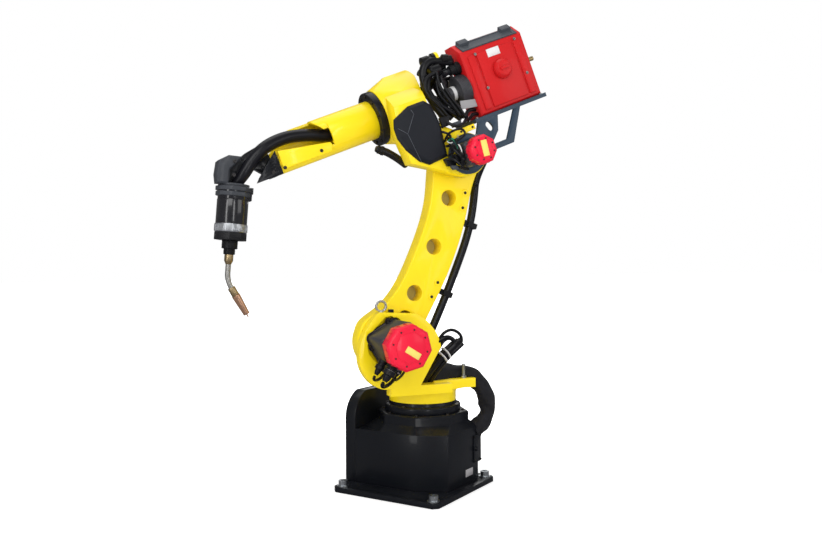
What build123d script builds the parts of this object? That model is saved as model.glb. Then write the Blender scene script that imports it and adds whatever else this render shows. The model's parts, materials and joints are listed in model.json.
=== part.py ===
"""Six-axis arc welding robot: base, turret, lower arm, elbow with wire feeder, forearm, wrist and torch.

Millimetres, +Z up, origin on the floor at the first axis, +X the way the arm reaches.
The rest pose is the pose of the photograph: the base stands turned about Z below the arm.
"""
from math import cos, radians, sin
import os

from build123d import *

os.makedirs("parts", exist_ok=True)

# Driving dimensions of the kinematic chain
base_turn = 36.5        # degrees from the arm's direction to the front of the base
shoulder_out = 150.0    # first axis to second axis
shoulder_up = 450.0     # floor to second axis
upper_link = 600.0      # second axis to third axis
elbow_rise = 195.0      # third axis to fourth axis
fore_link = 628.0       # third axis to fifth axis along the forearm
arm_lean = 23.0         # degrees the lower arm leans back at rest
fore_dip = 22.0         # degrees the forearm dips at rest
torch_tilt = 4.5        # degrees the torch leans forward at rest

# General small sizes
overrun = 2.0           # how far a cut runs past a face
seat_gap = 0.3          # running gap between faces of different bodies
soft_gap = 0.6          # gap round soft parts

# Places across the arm, measured along +Y
wall_near = 127.0       # outer face of the turret wall
wall_thick = 30.0
arm_near = 92.0         # outer face of the lower arm
arm_thick = 62.0
arm_far = arm_near - arm_thick
wall_far = wall_near - wall_thick


def along_arm(forward, up):
    """World X and Z of a point in the lower arm's own directions from the second axis."""
    lean = radians(arm_lean)
    x = shoulder_out + forward * cos(lean) - up * sin(lean)
    z = shoulder_up + forward * sin(lean) + up * cos(lean)
    return x, z


elbow_x, elbow_z = along_arm(0, upper_link)


def in_elbow(forward, up):
    """World X and Z of a point in the elbow's own directions from the third axis."""
    dip = radians(fore_dip)
    x = elbow_x + forward * cos(dip) + up * sin(dip)
    z = elbow_z - forward * sin(dip) + up * cos(dip)
    return x, z


wrist_x, wrist_z = in_elbow(fore_link, elbow_rise)


def side_plane(x, z, y, lean):
    """A plane facing away from the viewer's side: local x forward, local y up, tipped by lean degrees."""
    return Plane(origin=(x, y, z), x_dir=(cos(radians(lean)), 0, sin(radians(lean))), z_dir=(0, -1, 0))


def base_plane(height):
    """Level plane at a height, with local x along the front of the base."""
    turn = radians(base_turn)
    return Plane(origin=(0, 0, height), x_dir=(cos(turn), sin(turn), 0), z_dir=(0, 0, 1))


def base_side(across):
    """Upright plane beside the base: local x to its front, local y up, facing to the base's right."""
    turn = radians(base_turn)
    start = (-across * sin(turn), across * cos(turn), 0)
    return Plane(origin=start, x_dir=(cos(turn), sin(turn), 0), z_dir=(sin(turn), -cos(turn), 0))


def base_rear(out):
    """Upright plane across the base: local x to its right, local y up, facing backward."""
    turn = radians(base_turn)
    start = (-out * cos(turn), -out * sin(turn), 0)
    return Plane(origin=start, x_dir=(sin(turn), -cos(turn), 0), z_dir=(-cos(turn), -sin(turn), 0))


def turret_plane(y):
    return side_plane(shoulder_out, shoulder_up, y, 0)


def arm_plane(y):
    return side_plane(shoulder_out, shoulder_up, y, arm_lean)


def elbow_plane(y):
    return side_plane(elbow_x, elbow_z, y, -fore_dip)


def forearm_plane(forward):
    """Plane across the forearm: local x to +Y, local y up, facing along the forearm."""
    dip = radians(fore_dip)
    x, z = in_elbow(forward, elbow_rise)
    return Plane(origin=(x, 0, z), x_dir=(0, 1, 0), z_dir=(cos(dip), 0, -sin(dip)))


def elbow_level(up):
    """Plane level with the forearm's axis: local x forward, local y to +Y, facing up."""
    dip = radians(fore_dip)
    x, z = in_elbow(0, up)
    return Plane(origin=(x, 0, z), x_dir=(cos(dip), 0, -sin(dip)), z_dir=(sin(dip), 0, cos(dip)))


def torch_plane(down):
    """Plane across the torch: local x forward, facing down along the sixth axis."""
    tilt = radians(torch_tilt)
    start = (wrist_x + down * sin(tilt), 0, wrist_z - down * cos(tilt))
    return Plane(origin=start, x_dir=(cos(tilt), 0, sin(tilt)), z_dir=(sin(tilt), 0, -cos(tilt)))


def spread(shares, reach, rise):
    """Outline points from shares of a reach and a rise."""
    return [(share_x * reach, share_y * rise) for share_x, share_y in shares]


def finish(piece, name):
    piece.label = name
    export_step(piece, f"parts/{name}.step")


# Base plate and housing
plate_size = 363.0
plate_thick = 15.0
plate_forward = 46.5
plate_corner = 14.0
plate_bolt_inset = 24.5
plate_bolt_place = plate_size / 2 - plate_bolt_inset
plate_bolt_radius = 9.0
block_front = 150.0
block_side = 150.0
block_rear = 100.0
block_cut_front = 90.0
block_cut_side = 45.0
block_cut_rear = 20.0
block_top = 178.0
shelf_top = 200.0
boss_across = 262.0
boss_top = 228.0
boss_round = 4.0
collar_radius = 117.0
collar_top = 250.0
neck_radius = 104.0
neck_top = 260.0

with BuildPart() as base_plate:
    with BuildSketch(base_plane(0)):
        with Locations((plate_forward, 0)):
            Rectangle(plate_size, plate_size)
    extrude(amount=plate_thick)
    chamfer(base_plate.edges().filter_by(Axis.Z), plate_corner)
    with Locations(base_plane(plate_thick)):
        with Locations((plate_forward, 0)):
            with GridLocations(2 * plate_bolt_place, 2 * plate_bolt_place, 2, 2):
                Hole(plate_bolt_radius)
finish(base_plate.part, "base_plate")

with BuildPart() as base_housing:
    with BuildSketch(base_plane(plate_thick)) as block_outline:
        with BuildLine():
            Polyline(
                (block_front, block_side - block_cut_front),
                (block_front - block_cut_side, block_side),
                (block_cut_rear - block_rear, block_side),
                (-block_rear, block_side - block_cut_rear),
                (-block_rear, block_cut_rear - block_side),
                (block_cut_rear - block_rear, -block_side),
                (block_front, -block_side),
                close=True,
            )
        make_face()
    extrude(amount=block_top - plate_thick)
    with BuildSketch(base_plane(block_top)):
        with BuildLine():
            Polyline(
                (block_front, block_side - block_cut_front),
                (block_front - block_cut_side, block_side),
                (block_cut_rear - block_rear, block_side),
                (-block_rear, block_side - block_cut_rear),
                (-block_rear, block_cut_rear - block_side),
                (block_cut_rear - block_rear, -block_side),
                (block_front - block_cut_side, -block_side),
                (block_front, block_cut_front - block_side),
                close=True,
            )
        make_face()
    with BuildSketch(base_plane(shelf_top)):
        RegularPolygon(boss_across / 2, 8, major_radius=False, rotation=22.5)
    loft()
    with BuildSketch(base_plane(shelf_top)):
        RegularPolygon(boss_across / 2, 8, major_radius=False, rotation=22.5)
    extrude(amount=boss_top - shelf_top)
    chamfer(base_housing.faces().sort_by(Axis.Z)[-1].edges(), boss_round)
finish(base_housing.part, "base_housing")

with BuildPart() as base_collar:
    with BuildSketch(base_plane(boss_top)):
        Circle(collar_radius)
    extrude(amount=collar_top - boss_top)
    chamfer(base_collar.faces().sort_by(Axis.Z)[-1].edges(), boss_round)
    with BuildSketch(base_plane(collar_top)):
        Circle(neck_radius)
    extrude(amount=neck_top - collar_top)
finish(base_collar.part, "base_collar")

# Side duct beside the housing
duct_thick = 40.0
duct_height = 288.0
duct_shoulder = 205.0
duct_crown = 92.0
duct_rear_top = 30.0
duct_edge = 5.0

with BuildPart() as base_side_duct:
    with BuildSketch(base_side(-block_side)):
        with BuildLine():
            front = Line((block_front, plate_thick), (block_front, duct_shoulder))
            bow = TangentArc(front @ 1, (duct_crown, duct_height), tangent=front % 1)
            top = Line(bow @ 1, (-duct_rear_top, duct_height))
            Polyline(top @ 1, (-block_rear, block_top), (-block_rear, plate_thick), front @ 0)
        make_face()
    extrude(amount=duct_thick)
    chamfer(base_side_duct.faces().sort_by(Axis((0, 0, 0), (sin(radians(base_turn)), -cos(radians(base_turn)), 0)))[-1]
            .edges(), duct_edge)
finish(base_side_duct.part, "base_side_duct")

# Cover, connector panel and air fitting on the housing
cover_wide = 46.0
cover_high = 84.0
cover_thick = 3.0
cover_middle_x = -72.0
cover_middle_z = 110.0
cover_round = 4.0
cover_boss = 7.0
panel_wide = 150.0
panel_high = 110.0
panel_thick = 6.0
panel_middle_z = 96.0
plug_radius = 22.0
plug_depth = 16.0
plug_pitch = 62.0
fitting_wide = 24.0
fitting_high = 42.0
fitting_deep = 34.0
fitting_across = 112.0
fitting_up = 148.0
fitting_radius = 7.0

with BuildPart() as base_inspection_cover:
    with BuildSketch(base_side(block_side + cover_thick)):
        with Locations((cover_middle_x, cover_middle_z)):
            RectangleRounded(cover_wide, cover_high, cover_round)
    extrude(amount=cover_thick)
    with BuildSketch(base_side(block_side + cover_thick + cover_boss)):
        with Locations((cover_middle_x + cover_wide / 4, cover_middle_z)):
            Circle(cover_boss)
    extrude(amount=cover_boss)
finish(base_inspection_cover.part, "base_inspection_cover")

with BuildPart() as connector_panel:
    with BuildSketch(base_rear(block_rear)):
        with Locations((0, panel_middle_z)):
            RectangleRounded(panel_wide, panel_high, cover_round)
    extrude(amount=panel_thick)
    with BuildSketch(base_rear(block_rear + panel_thick)):
        with Locations((0, panel_middle_z)):
            with GridLocations(plug_pitch, 0, 2, 1):
                Circle(plug_radius)
    extrude(amount=plug_depth)
finish(connector_panel.part, "connector_panel")

with BuildPart() as air_fitting:
    with BuildSketch(base_rear(block_rear)):
        with Locations((-fitting_across, fitting_up)):
            Rectangle(fitting_wide, fitting_high)
    extrude(amount=fitting_deep)
    with BuildSketch(base_rear(block_rear + fitting_deep)):
        with Locations((-fitting_across, fitting_up)):
            with GridLocations(0, fitting_high / 2, 1, 2):
                Circle(fitting_radius)
    extrude(amount=fitting_radius)
finish(air_fitting.part, "air_fitting")

# Turret casting: ring, side wall with a pocket for the motor, and rear bracket
ring_low = neck_top + seat_gap
ring_radius = 103.0
ring_top = 286.0
bowl_radius = 112.0
bowl_top = 302.0
bowl_bore = 74.0
wall_reach = 160.0
wall_drop = 152.0
wall_back_shares = [(-0.99, -0.11), (-0.88, 0.18), (-0.68, 0.40), (-0.49, 0.52)]
wall_front_shares = [(0.20, 0.56), (0.30, 0.48), (0.43, 0.30), (0.54, 0.10), (0.59, -0.10), (0.58, -0.38)]
wall_foot_shares = [(0.49, -0.58), (0.33, -0.75), (0.06, -0.84)]
wall_heel_shares = (-0.58, -0.80)
floor_low = 294.0
floor_high = 322.0
floor_shares = [(-0.35, 1.0), (1.18, 1.0), (1.18, 0.70), (0.65, -0.45), (-0.35, -0.10)]
window_shares = [(-0.30, 0.30), (-0.02, 0.49), (0.10, 0.47), (0.37, 0.20), (0.44, -0.02), (0.42, -0.18),
                 (0.26, -0.36), (-0.02, -0.40), (-0.36, -0.24), (-0.42, 0.06)]
window_round = 6.0
window_deep = 18.0
pocket_deep = 24.0
pocket_size = 118.0
pocket_turn = -30.0
pocket_round = 18.0
rear_arm_reach = 146.0
rear_arm_low = 298.0
rear_arm_high = 326.0
rear_arm_wide = 70.0
rear_arm_shares = [(-1.0, 0.08), (-1.0, 1.07), (-0.72, 1.07), (-0.50, 1.3), (0.0, 1.3), (0.0, -0.9), (-0.5, -0.9)]

with BuildPart() as turret_casting:
    with BuildSketch(Plane.XY.offset(ring_low)):
        Circle(ring_radius)
    extrude(amount=ring_top - ring_low)
    with BuildSketch(Plane.XY.offset(ring_top)):
        Circle(ring_radius)
    with BuildSketch(Plane.XY.offset(bowl_top)):
        Circle(bowl_radius)
    loft()
    with BuildSketch(Plane.XY.offset(rear_arm_low)):
        with BuildLine():
            Polyline(*spread(rear_arm_shares, rear_arm_reach, rear_arm_wide), close=True)
        make_face()
    extrude(amount=rear_arm_high - rear_arm_low)
    with BuildSketch(Plane.XY.offset(floor_low)):
        with BuildLine():
            Polyline(*spread(floor_shares, wall_near, wall_near), close=True)
        make_face()
    extrude(amount=floor_high - floor_low)
    with BuildSketch(Plane.XY.offset(ring_low)):
        Circle(bowl_bore)
    extrude(amount=rear_arm_high - ring_low + overrun, mode=Mode.SUBTRACT)
    with BuildSketch(turret_plane(wall_near)) as wall_outline:
        with BuildLine():
            back = Spline(*spread(wall_back_shares, wall_reach, wall_reach))
            front = Spline(*spread(wall_front_shares + wall_foot_shares, wall_reach, wall_reach))
            Line(back @ 1, front @ 0)
            heel = (wall_heel_shares[0] * wall_reach, wall_heel_shares[1] * wall_reach)
            Polyline(front @ 1, heel, back @ 0)
        make_face()
    extrude(amount=wall_thick)
    with BuildSketch(turret_plane(wall_near)):
        with BuildLine():
            Polyline(*spread(window_shares, wall_reach, wall_reach), close=True)
        make_face()
        fillet(vertices(), window_round)
    extrude(amount=window_deep, mode=Mode.SUBTRACT)
    with BuildSketch(turret_plane(wall_near)):
        RectangleRounded(pocket_size, pocket_size, pocket_round, rotation=pocket_turn)
    extrude(amount=pocket_deep, mode=Mode.SUBTRACT)
finish(turret_casting.part, "turret_casting")

# Shoulder drive: reducer between wall and arm, motor with red cap, connectors
reducer_radius = 76.0
motor_flange = 112.0
motor_flange_thick = 12.0
motor_body = 104.0
motor_round = 10.0
shoulder_cap_near = 284.0
shoulder_cap_long = 46.0
shoulder_cap_across = 125.0
cap_chamfer = 8.0
plug_size = 15.0
plug_collar = 3.0

with BuildPart() as shoulder_reducer:
    with BuildSketch(turret_plane(wall_far)):
        Circle(reducer_radius)
    extrude(amount=wall_far - arm_near - seat_gap)
finish(shoulder_reducer.part, "shoulder_reducer")

motor_start = wall_near - pocket_deep
with BuildPart() as shoulder_motor_body:
    with BuildSketch(turret_plane(motor_start + motor_flange_thick)):
        RectangleRounded(motor_flange, motor_flange, motor_round, rotation=pocket_turn)
    extrude(amount=motor_flange_thick)
    with BuildSketch(turret_plane(shoulder_cap_near - shoulder_cap_long)):
        RectangleRounded(motor_body, motor_body, motor_round, rotation=pocket_turn)
    extrude(amount=shoulder_cap_near - shoulder_cap_long - motor_start - motor_flange_thick)
finish(shoulder_motor_body.part, "shoulder_motor_body")

with BuildPart() as shoulder_motor_cap:
    with BuildSketch(turret_plane(shoulder_cap_near)):
        RegularPolygon(shoulder_cap_across / 2, 8, major_radius=False, rotation=pocket_turn + 22.5)
    extrude(amount=shoulder_cap_long)
    chamfer(shoulder_motor_cap.faces().sort_by(Axis.Y)[-1].edges(), cap_chamfer)
finish(shoulder_motor_cap.part, "shoulder_motor_cap")

plug_places = [(30.0, 1.0), (-14.0, 0.6)]
plug_top = -58.0
plug_drop = 50.0
with BuildPart() as shoulder_connectors:
    for plug_x, along_share in plug_places:
        height = shoulder_up + plug_top
        middle = wall_near + along_share * (shoulder_cap_near - shoulder_cap_long - wall_near - plug_size)
        with BuildSketch(Plane(origin=(shoulder_out + plug_x, middle, height), x_dir=(1, 0, 0), z_dir=(0, 0, -1))):
            Circle(plug_size)
        extrude(amount=plug_drop)
        with BuildSketch(Plane(origin=(shoulder_out + plug_x, middle, height), x_dir=(1, 0, 0), z_dir=(0, 0, -1))
                         .offset(plug_drop / 2)):
            Circle(plug_size + plug_collar)
        extrude(amount=plug_drop / 4)
    add(shoulder_motor_body.part, mode=Mode.SUBTRACT)
finish(shoulder_connectors.part, "shoulder_connectors")

# Lifting eye, stop pin, canvas cover and cable loops on the turret
eye_x = 24.0
eye_middle_up = 106.0
eye_radius = 13.5
eye_wire = 3.5
eye_shank = 7.0
pin_x = -112.0
pin_y = 60.0
pin_radius = 5.5
pin_high = 44.0
canvas_low = ring_top
canvas_radius = bowl_bore - seat_gap
canvas_high = 342.0
canvas_top_radius = 44.0

with BuildPart() as lifting_eye:
    with BuildSketch(Plane(origin=(shoulder_out + eye_x, wall_near - wall_thick / 2, shoulder_up + eye_middle_up),
                           x_dir=(1, 0, 0), z_dir=(0, -1, 0))):
        Circle(eye_radius + eye_wire)
        Circle(eye_radius - eye_wire, mode=Mode.SUBTRACT)
    extrude(amount=eye_wire, both=True)
    with BuildSketch(Plane(origin=(shoulder_out + eye_x, wall_near - wall_thick / 2,
                                   shoulder_up + eye_middle_up - eye_radius), z_dir=(0, 0, -1))):
        Circle(eye_shank)
    extrude(until=Until.NEXT, target=turret_casting.part)
finish(lifting_eye.part, "lifting_eye")

with BuildPart() as stop_pin:
    with BuildSketch(Plane(origin=(pin_x, pin_y, rear_arm_high))):
        Circle(pin_radius)
    extrude(amount=pin_high)
finish(stop_pin.part, "stop_pin")

with BuildPart() as canvas_cover:
    with BuildSketch(Plane.XY.offset(canvas_low)):
        Circle(canvas_radius)
    with BuildSketch(Plane.XY.offset(canvas_high)):
        Circle(canvas_top_radius)
    loft()
finish(canvas_cover.part, "canvas_cover")

# Lower arm casting
hub_radius = 88.0
top_hub_radius = 78.0
arm_front_shares = [(1.0, 0.0), (0.98, 0.05), (0.70, 0.12), (0.41, 0.21), (0.27, 0.30), (0.21, 0.44),
                    (0.23, 0.60), (0.38, 0.75), (0.62, 0.86), (0.88, 1.0)]
arm_rear_shares = [(-0.88, 1.0), (-0.88, 0.90), (-1.0, 0.79), (-1.12, 0.68), (-1.19, 0.52), (-1.17, 0.38),
                   (-1.09, 0.25), (-1.03, 0.15), (-1.0, 0.0)]
hole_radius = 24.0
hole_shares = [(-0.22, 0.785), (-0.35, 0.528), (-0.30, 0.275), (-0.30, 0.140)]
arm_edge = 3.0
recess_deep = 16.0
recess_round = 5.0
lower_recess_shares = [(-0.92, 0.20), (-0.72, 0.20), (-0.72, 0.40), (-0.98, 0.40)]
upper_recess_shares = [(-1.02, 0.44), (-0.76, 0.44), (-0.68, 0.66), (-0.94, 0.66)]

with BuildPart() as lower_arm:
    with BuildSketch(arm_plane(arm_near)) as arm_outline:
        with BuildLine():
            front = Spline(*spread(arm_front_shares, hub_radius, upper_link))
            back = Spline(*spread(arm_rear_shares, hub_radius, upper_link))
            Line(front @ 1, back @ 0)
            Line(back @ 1, front @ 0)
        make_face()
        Circle(hub_radius)
        with Locations((0, upper_link)):
            Circle(top_hub_radius)
    extrude(amount=arm_thick)
    chamfer(lower_arm.faces().filter_by(Axis.Y).edges(), arm_edge)
    with BuildSketch(arm_plane(arm_near)):
        with Locations(*spread(hole_shares, hub_radius, upper_link)):
            Circle(hole_radius)
    extrude(amount=arm_thick, mode=Mode.SUBTRACT)
    for pocket in (lower_recess_shares, upper_recess_shares):
        with BuildSketch(arm_plane(arm_far + recess_deep)):
            with BuildLine():
                Polyline(*spread(pocket, hub_radius, upper_link), close=True)
            make_face()
            fillet(vertices(), recess_round)
        extrude(amount=recess_deep, mode=Mode.SUBTRACT)
finish(lower_arm.part, "lower_arm")

# Hub covers on the far side of the lower arm
hub_cover_radius = 62.0
hub_cover_thick = 7.0
with BuildPart() as arm_hub_covers:
    with BuildSketch(arm_plane(arm_far)):
        Circle(hub_cover_radius)
        with Locations((0, upper_link)):
            Circle(hub_cover_radius * top_hub_radius / hub_radius)
    extrude(amount=hub_cover_thick)
finish(arm_hub_covers.part, "arm_hub_covers")

# Conduit up the back of the lower arm
conduit_radius = 12.0
conduit_y = 56.0
conduit_shares = [(-1.52, 0.14), (-1.56, 0.30), (-1.57, 0.50), (-1.52, 0.70), (-1.42, 0.84), (-1.30, 0.92)]
clip_reach = 42.0
clip_places = [0.26, 0.74]

conduit_points = [along_arm(*point) for point in spread(conduit_shares, hub_radius, upper_link)]
with BuildPart() as arm_conduit:
    with BuildLine() as conduit_route:
        Spline(*[(x, conduit_y, z) for x, z in conduit_points])
    with BuildSketch(Plane(origin=conduit_route.line @ 0, z_dir=conduit_route.line % 0)):
        Circle(conduit_radius)
    sweep()
finish(arm_conduit.part, "arm_conduit")

# Clips that hold the conduit on the back of the lower arm
clip_wall = 3.0
clip_long = 16.0
with BuildPart() as conduit_clips:
    for place in clip_places:
        spot = conduit_route.line @ place
        with BuildSketch(Plane(origin=spot, x_dir=(0, 1, 0), z_dir=conduit_route.line % place)):
            Rectangle(2 * (conduit_radius + clip_wall), 2 * (conduit_radius + clip_wall))
        extrude(amount=clip_long / 2, both=True)
    with BuildSketch(arm_plane(conduit_y + clip_long / 2)):
        for place in clip_places:
            spot = arm_plane(0).to_local_coords(conduit_route.line @ place)
            with Locations((spot.X + clip_reach / 2, spot.Y)):
                Rectangle(clip_reach, clip_long)
    extrude(amount=clip_long)
    add(lower_arm.part, mode=Mode.SUBTRACT)
    with BuildSketch(Plane(origin=conduit_route.line @ 0, z_dir=conduit_route.line % 0)):
        Circle(conduit_radius)
    sweep(path=conduit_route.line, mode=Mode.SUBTRACT)
finish(conduit_clips.part, "conduit_clips")

# Elbow casting
cheek_near = 150.0
cheek_far = wall_far
elbow_hub_radius = 64.0
drum_rear = 24.0
drum_front = 112.0
drum_radius = 106.0
drum_round = 10.0
drum_bore = 40.0
box_front = 166.0
box_front_radius = 84.0
facet_crest = 8.0       # the flat facet starts here beside the crest
facet_crest_up = 302.0
facet_side_up = 200.0
rear_cut_start = 48.0
rear_cut_deep = 40.0
rear_cut_low = 110.0
cheek_shares = [(0.0, 0.32), (0.24, 0.25), (0.58, 0.02), (0.90, -0.17), (0.93, -0.60), (0.80, -1.28),
                (0.46, -1.42), (0.26, -1.10), (0.18, -0.50), (-0.32, -0.10)]

with BuildPart() as elbow_casting:
    with BuildSketch(forearm_plane(drum_rear)):
        Circle(drum_radius)
    extrude(amount=drum_front - drum_rear)
    fillet(elbow_casting.edges(), drum_round)
    with BuildSketch(forearm_plane(drum_front - drum_round)):
        Circle(drum_radius)
    with BuildSketch(forearm_plane(box_front)):
        Circle(box_front_radius)
    loft()
    with BuildSketch(elbow_plane(cheek_near)):
        with BuildLine():
            Polyline(*[(x, -y) for x, y in spread(cheek_shares, elbow_rise, elbow_rise)], close=True)
        make_face()
        Circle(elbow_hub_radius)
    extrude(amount=cheek_near - cheek_far)
    with BuildSketch(forearm_plane(drum_rear - overrun)):
        Polygon((facet_crest, facet_crest_up - elbow_rise), (cheek_near, facet_side_up - elbow_rise),
                (2 * cheek_near, facet_side_up - elbow_rise), (2 * cheek_near, 2 * facet_crest_up - elbow_rise),
                (facet_crest, 2 * facet_crest_up - elbow_rise), align=None)
    extrude(amount=box_front - drum_rear + 2 * overrun, mode=Mode.SUBTRACT)
    with BuildSketch(elbow_level(rear_cut_low)):
        Polygon((drum_rear - drum_round, rear_cut_start), (drum_rear, rear_cut_start),
                (drum_rear + rear_cut_deep, cheek_near + overrun),
                (drum_rear - drum_round, cheek_near + overrun), align=None)
    extrude(amount=facet_crest_up, mode=Mode.SUBTRACT)
    with BuildSketch(forearm_plane(drum_rear)):
        Circle(drum_bore)
    extrude(amount=box_front - drum_rear, mode=Mode.SUBTRACT)
finish(elbow_casting.part, "elbow_casting")

with BuildPart() as elbow_reducer:
    with BuildSketch(elbow_plane(cheek_far)):
        Circle(elbow_hub_radius)
    extrude(amount=cheek_far - arm_near - seat_gap)
finish(elbow_reducer.part, "elbow_reducer")

# Black cover on the near side of the elbow
side_cover_thick = 14.0
side_cover_bevel = 7.0
bracket_thick = 10.0
side_cover_shares = [(0.25, 0.28), (0.26, 0.82), (0.34, 0.97), (0.66, 0.95), (0.92, 0.86), (0.97, 0.57),
                     (0.93, 0.38), (0.62, 0.09), (0.40, 0.05)]
with BuildPart() as elbow_side_cover:
    with BuildSketch(elbow_plane(cheek_near + side_cover_thick)):
        with BuildLine():
            Polyline(*spread(side_cover_shares, elbow_rise, elbow_rise), close=True)
        make_face()
    extrude(amount=side_cover_thick)
    chamfer(elbow_side_cover.faces().sort_by(Axis.Y)[-1].edges(), side_cover_bevel)
finish(elbow_side_cover.part, "elbow_side_cover")

# Elbow motor
elbow_motor_body_size = 74.0
elbow_cap_near = 270.0
elbow_cap_long = 38.0
elbow_cap_across = 80.0
with BuildPart() as elbow_motor_body:
    with BuildSketch(elbow_plane(elbow_cap_near - elbow_cap_long)):
        RectangleRounded(elbow_motor_body_size, elbow_motor_body_size, motor_round)
    extrude(amount=elbow_cap_near - elbow_cap_long - cheek_near)
finish(elbow_motor_body.part, "elbow_motor_body")

with BuildPart() as elbow_motor_cap:
    with BuildSketch(elbow_plane(elbow_cap_near)):
        RegularPolygon(elbow_cap_across / 2, 8, major_radius=False, rotation=22.5)
    extrude(amount=elbow_cap_long)
    chamfer(elbow_motor_cap.faces().sort_by(Axis.Y)[-1].edges(), cap_chamfer)
finish(elbow_motor_cap.part, "elbow_motor_cap")

# Black collar between elbow and forearm
collar_long = 22.0
fore_collar_radius = 82.0
fore_radius = 58.0
with BuildPart() as forearm_collar:
    with BuildSketch(forearm_plane(box_front)):
        Circle(fore_collar_radius)
    extrude(amount=collar_long)
finish(forearm_collar.part, "forearm_collar")

# Wire feeder on its tray behind the elbow
tray_rear = 318.0
tray_front = 60.0
tray_up = 74.0
tray_thick = 12.0
tray_near = cheek_near + bracket_thick
tray_far = 20.0
tray_lip = 6.0
feeder_rear = 312.0
feeder_front = 92.0
feeder_low = tray_up + tray_thick
feeder_high = 278.0
feeder_near = 150.0
feeder_far = 62.0
feeder_round = 6.0
knob_x = -204.0
knob_up = 198.0
knob_radius = 22.0
knob_ring = 29.0
knob_deep = 10.0

with BuildPart() as feeder_tray:
    with BuildSketch(elbow_plane(tray_near)):
        with Locations((-(tray_rear + tray_front) / 2, tray_up + tray_thick / 2)):
            Rectangle(tray_rear - tray_front, tray_thick)
    extrude(amount=tray_near - tray_far)
finish(feeder_tray.part, "feeder_tray")

# Bent bar that carries the tray from behind the elbow motor, and a short bracket in front
strut_thick = 12.0
strut_shares = [(-1.12, 0.3794), (-1.0, 0.3794), (-0.72, -0.01), (-0.25, -0.01), (-0.25, -0.10), (-0.81, -0.10)]
front_bracket_shares = [(-0.70, 0.3794), (-0.34, 0.3794), (-0.20, 0.14), (-0.22, -0.05), (-0.38, -0.06), (-0.62, 0.16)]
bracket_hub_radius = 60.0
slot_long = 30.0
slot_wide = 18.0
slot_back = 98.0
slot_up = 52.0
with BuildPart() as tray_bracket:
    with BuildSketch(elbow_plane(cheek_near + bracket_thick)):
        Polygon(*spread(strut_shares, elbow_rise, elbow_rise), align=None)
        Polygon(*spread(front_bracket_shares, elbow_rise, elbow_rise), align=None)
        Circle(bracket_hub_radius)
        with Locations((-slot_back, slot_up)):
            SlotOverall(slot_long, slot_wide, rotation=90 - fore_dip, mode=Mode.SUBTRACT)
        RectangleRounded(elbow_motor_body_size, elbow_motor_body_size, motor_round, mode=Mode.SUBTRACT)
    extrude(amount=bracket_thick)
finish(tray_bracket.part, "tray_bracket")


def feeder_across(forward):
    """Plane across the feeder: local x to +Y, local y up, facing along the forearm."""
    dip = radians(fore_dip)
    x, z = in_elbow(forward, 0)
    return Plane(origin=(x, 0, z), x_dir=(0, 1, 0), z_dir=(cos(dip), 0, -sin(dip)))


feeder_slope_up = 34.0
feeder_slope_in = 42.0
feeder_corner = 14.0
panel_raise = 5.0
rib_in = 18.0
rib_step = 26.0
rib_wide = 8.0
with BuildPart() as feeder_housing:
    with BuildSketch(feeder_across(-feeder_rear)):
        with BuildLine():
            Polyline((feeder_far, feeder_low), (feeder_near, feeder_low), (feeder_near, feeder_high),
                     (feeder_near - feeder_slope_in, feeder_high + feeder_slope_up),
                     (feeder_far, feeder_high + feeder_slope_up), close=True)
        make_face()
    extrude(amount=feeder_rear - feeder_front)
    near_face = feeder_housing.faces().filter_by(Axis.Y).sort_by(Axis.Y)[-1]
    chamfer(near_face.edges(), feeder_round)
    with BuildSketch(elbow_plane(feeder_near + panel_raise)):
        with Locations((-(feeder_rear + feeder_front) / 2, (feeder_low + feeder_high) / 2)):
            Rectangle(feeder_rear - feeder_front - 2 * rib_in, feeder_high - feeder_low - 2 * feeder_corner)
            with GridLocations(feeder_rear - feeder_front - 2 * rib_in - 2 * rib_step, 0, 2, 1):
                Rectangle(rib_wide, feeder_high - feeder_low, mode=Mode.SUBTRACT)
    extrude(amount=panel_raise)
finish(feeder_housing.part, "feeder_housing")

# Sloped lid on the feeder with two latch blocks
lid_thick = 4.0
lid_edge = 12.0
latch_long = 34.0
latch_wide = 22.0
latch_high = 12.0
slope_angle = 39.0


def lid_plane(forward, out):
    """Plane on the sloped top of the feeder: local x forward, local y down the slope, facing out."""
    middle_y = feeder_near - feeder_slope_in / 2
    middle_up = feeder_high + feeder_slope_up / 2
    x, z = in_elbow(forward, middle_up)
    up = Vector(sin(radians(fore_dip)), 0, cos(radians(fore_dip)))
    across = Vector(0, 1, 0)
    rise = (up * feeder_slope_up - across * feeder_slope_in).normalized()
    ahead = Vector(cos(radians(fore_dip)), 0, -sin(radians(fore_dip)))
    out_way = rise.cross(ahead)
    return Plane(origin=Vector(x, middle_y, z) + out_way * out, x_dir=ahead, z_dir=out_way)


feeder_middle = -(feeder_rear + feeder_front) / 2
slope_long = (feeder_slope_up ** 2 + feeder_slope_in ** 2) ** 0.5
with BuildPart() as feeder_lid:
    with BuildSketch(lid_plane(feeder_middle, 0)):
        Rectangle(feeder_rear - feeder_front - 2 * lid_edge, slope_long - lid_edge)
        Rectangle(feeder_rear - feeder_front - 4 * lid_edge, slope_long - 2 * lid_edge, mode=Mode.SUBTRACT)
    extrude(amount=lid_thick)
    with BuildSketch(lid_plane(feeder_middle, 0)):
        Rectangle(feeder_rear - feeder_front - 4 * lid_edge, slope_long - 2 * lid_edge)
    extrude(amount=lid_thick / 2)
    with BuildSketch(lid_plane(feeder_middle, 0)):
        with Locations((0, latch_wide / 2 - slope_long / 2)):
            with GridLocations(feeder_rear - feeder_front - 2 * latch_long, 0, 2, 1):
                Rectangle(latch_long, latch_wide)
    extrude(amount=latch_high)
finish(feeder_lid.part, "feeder_lid")

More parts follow.
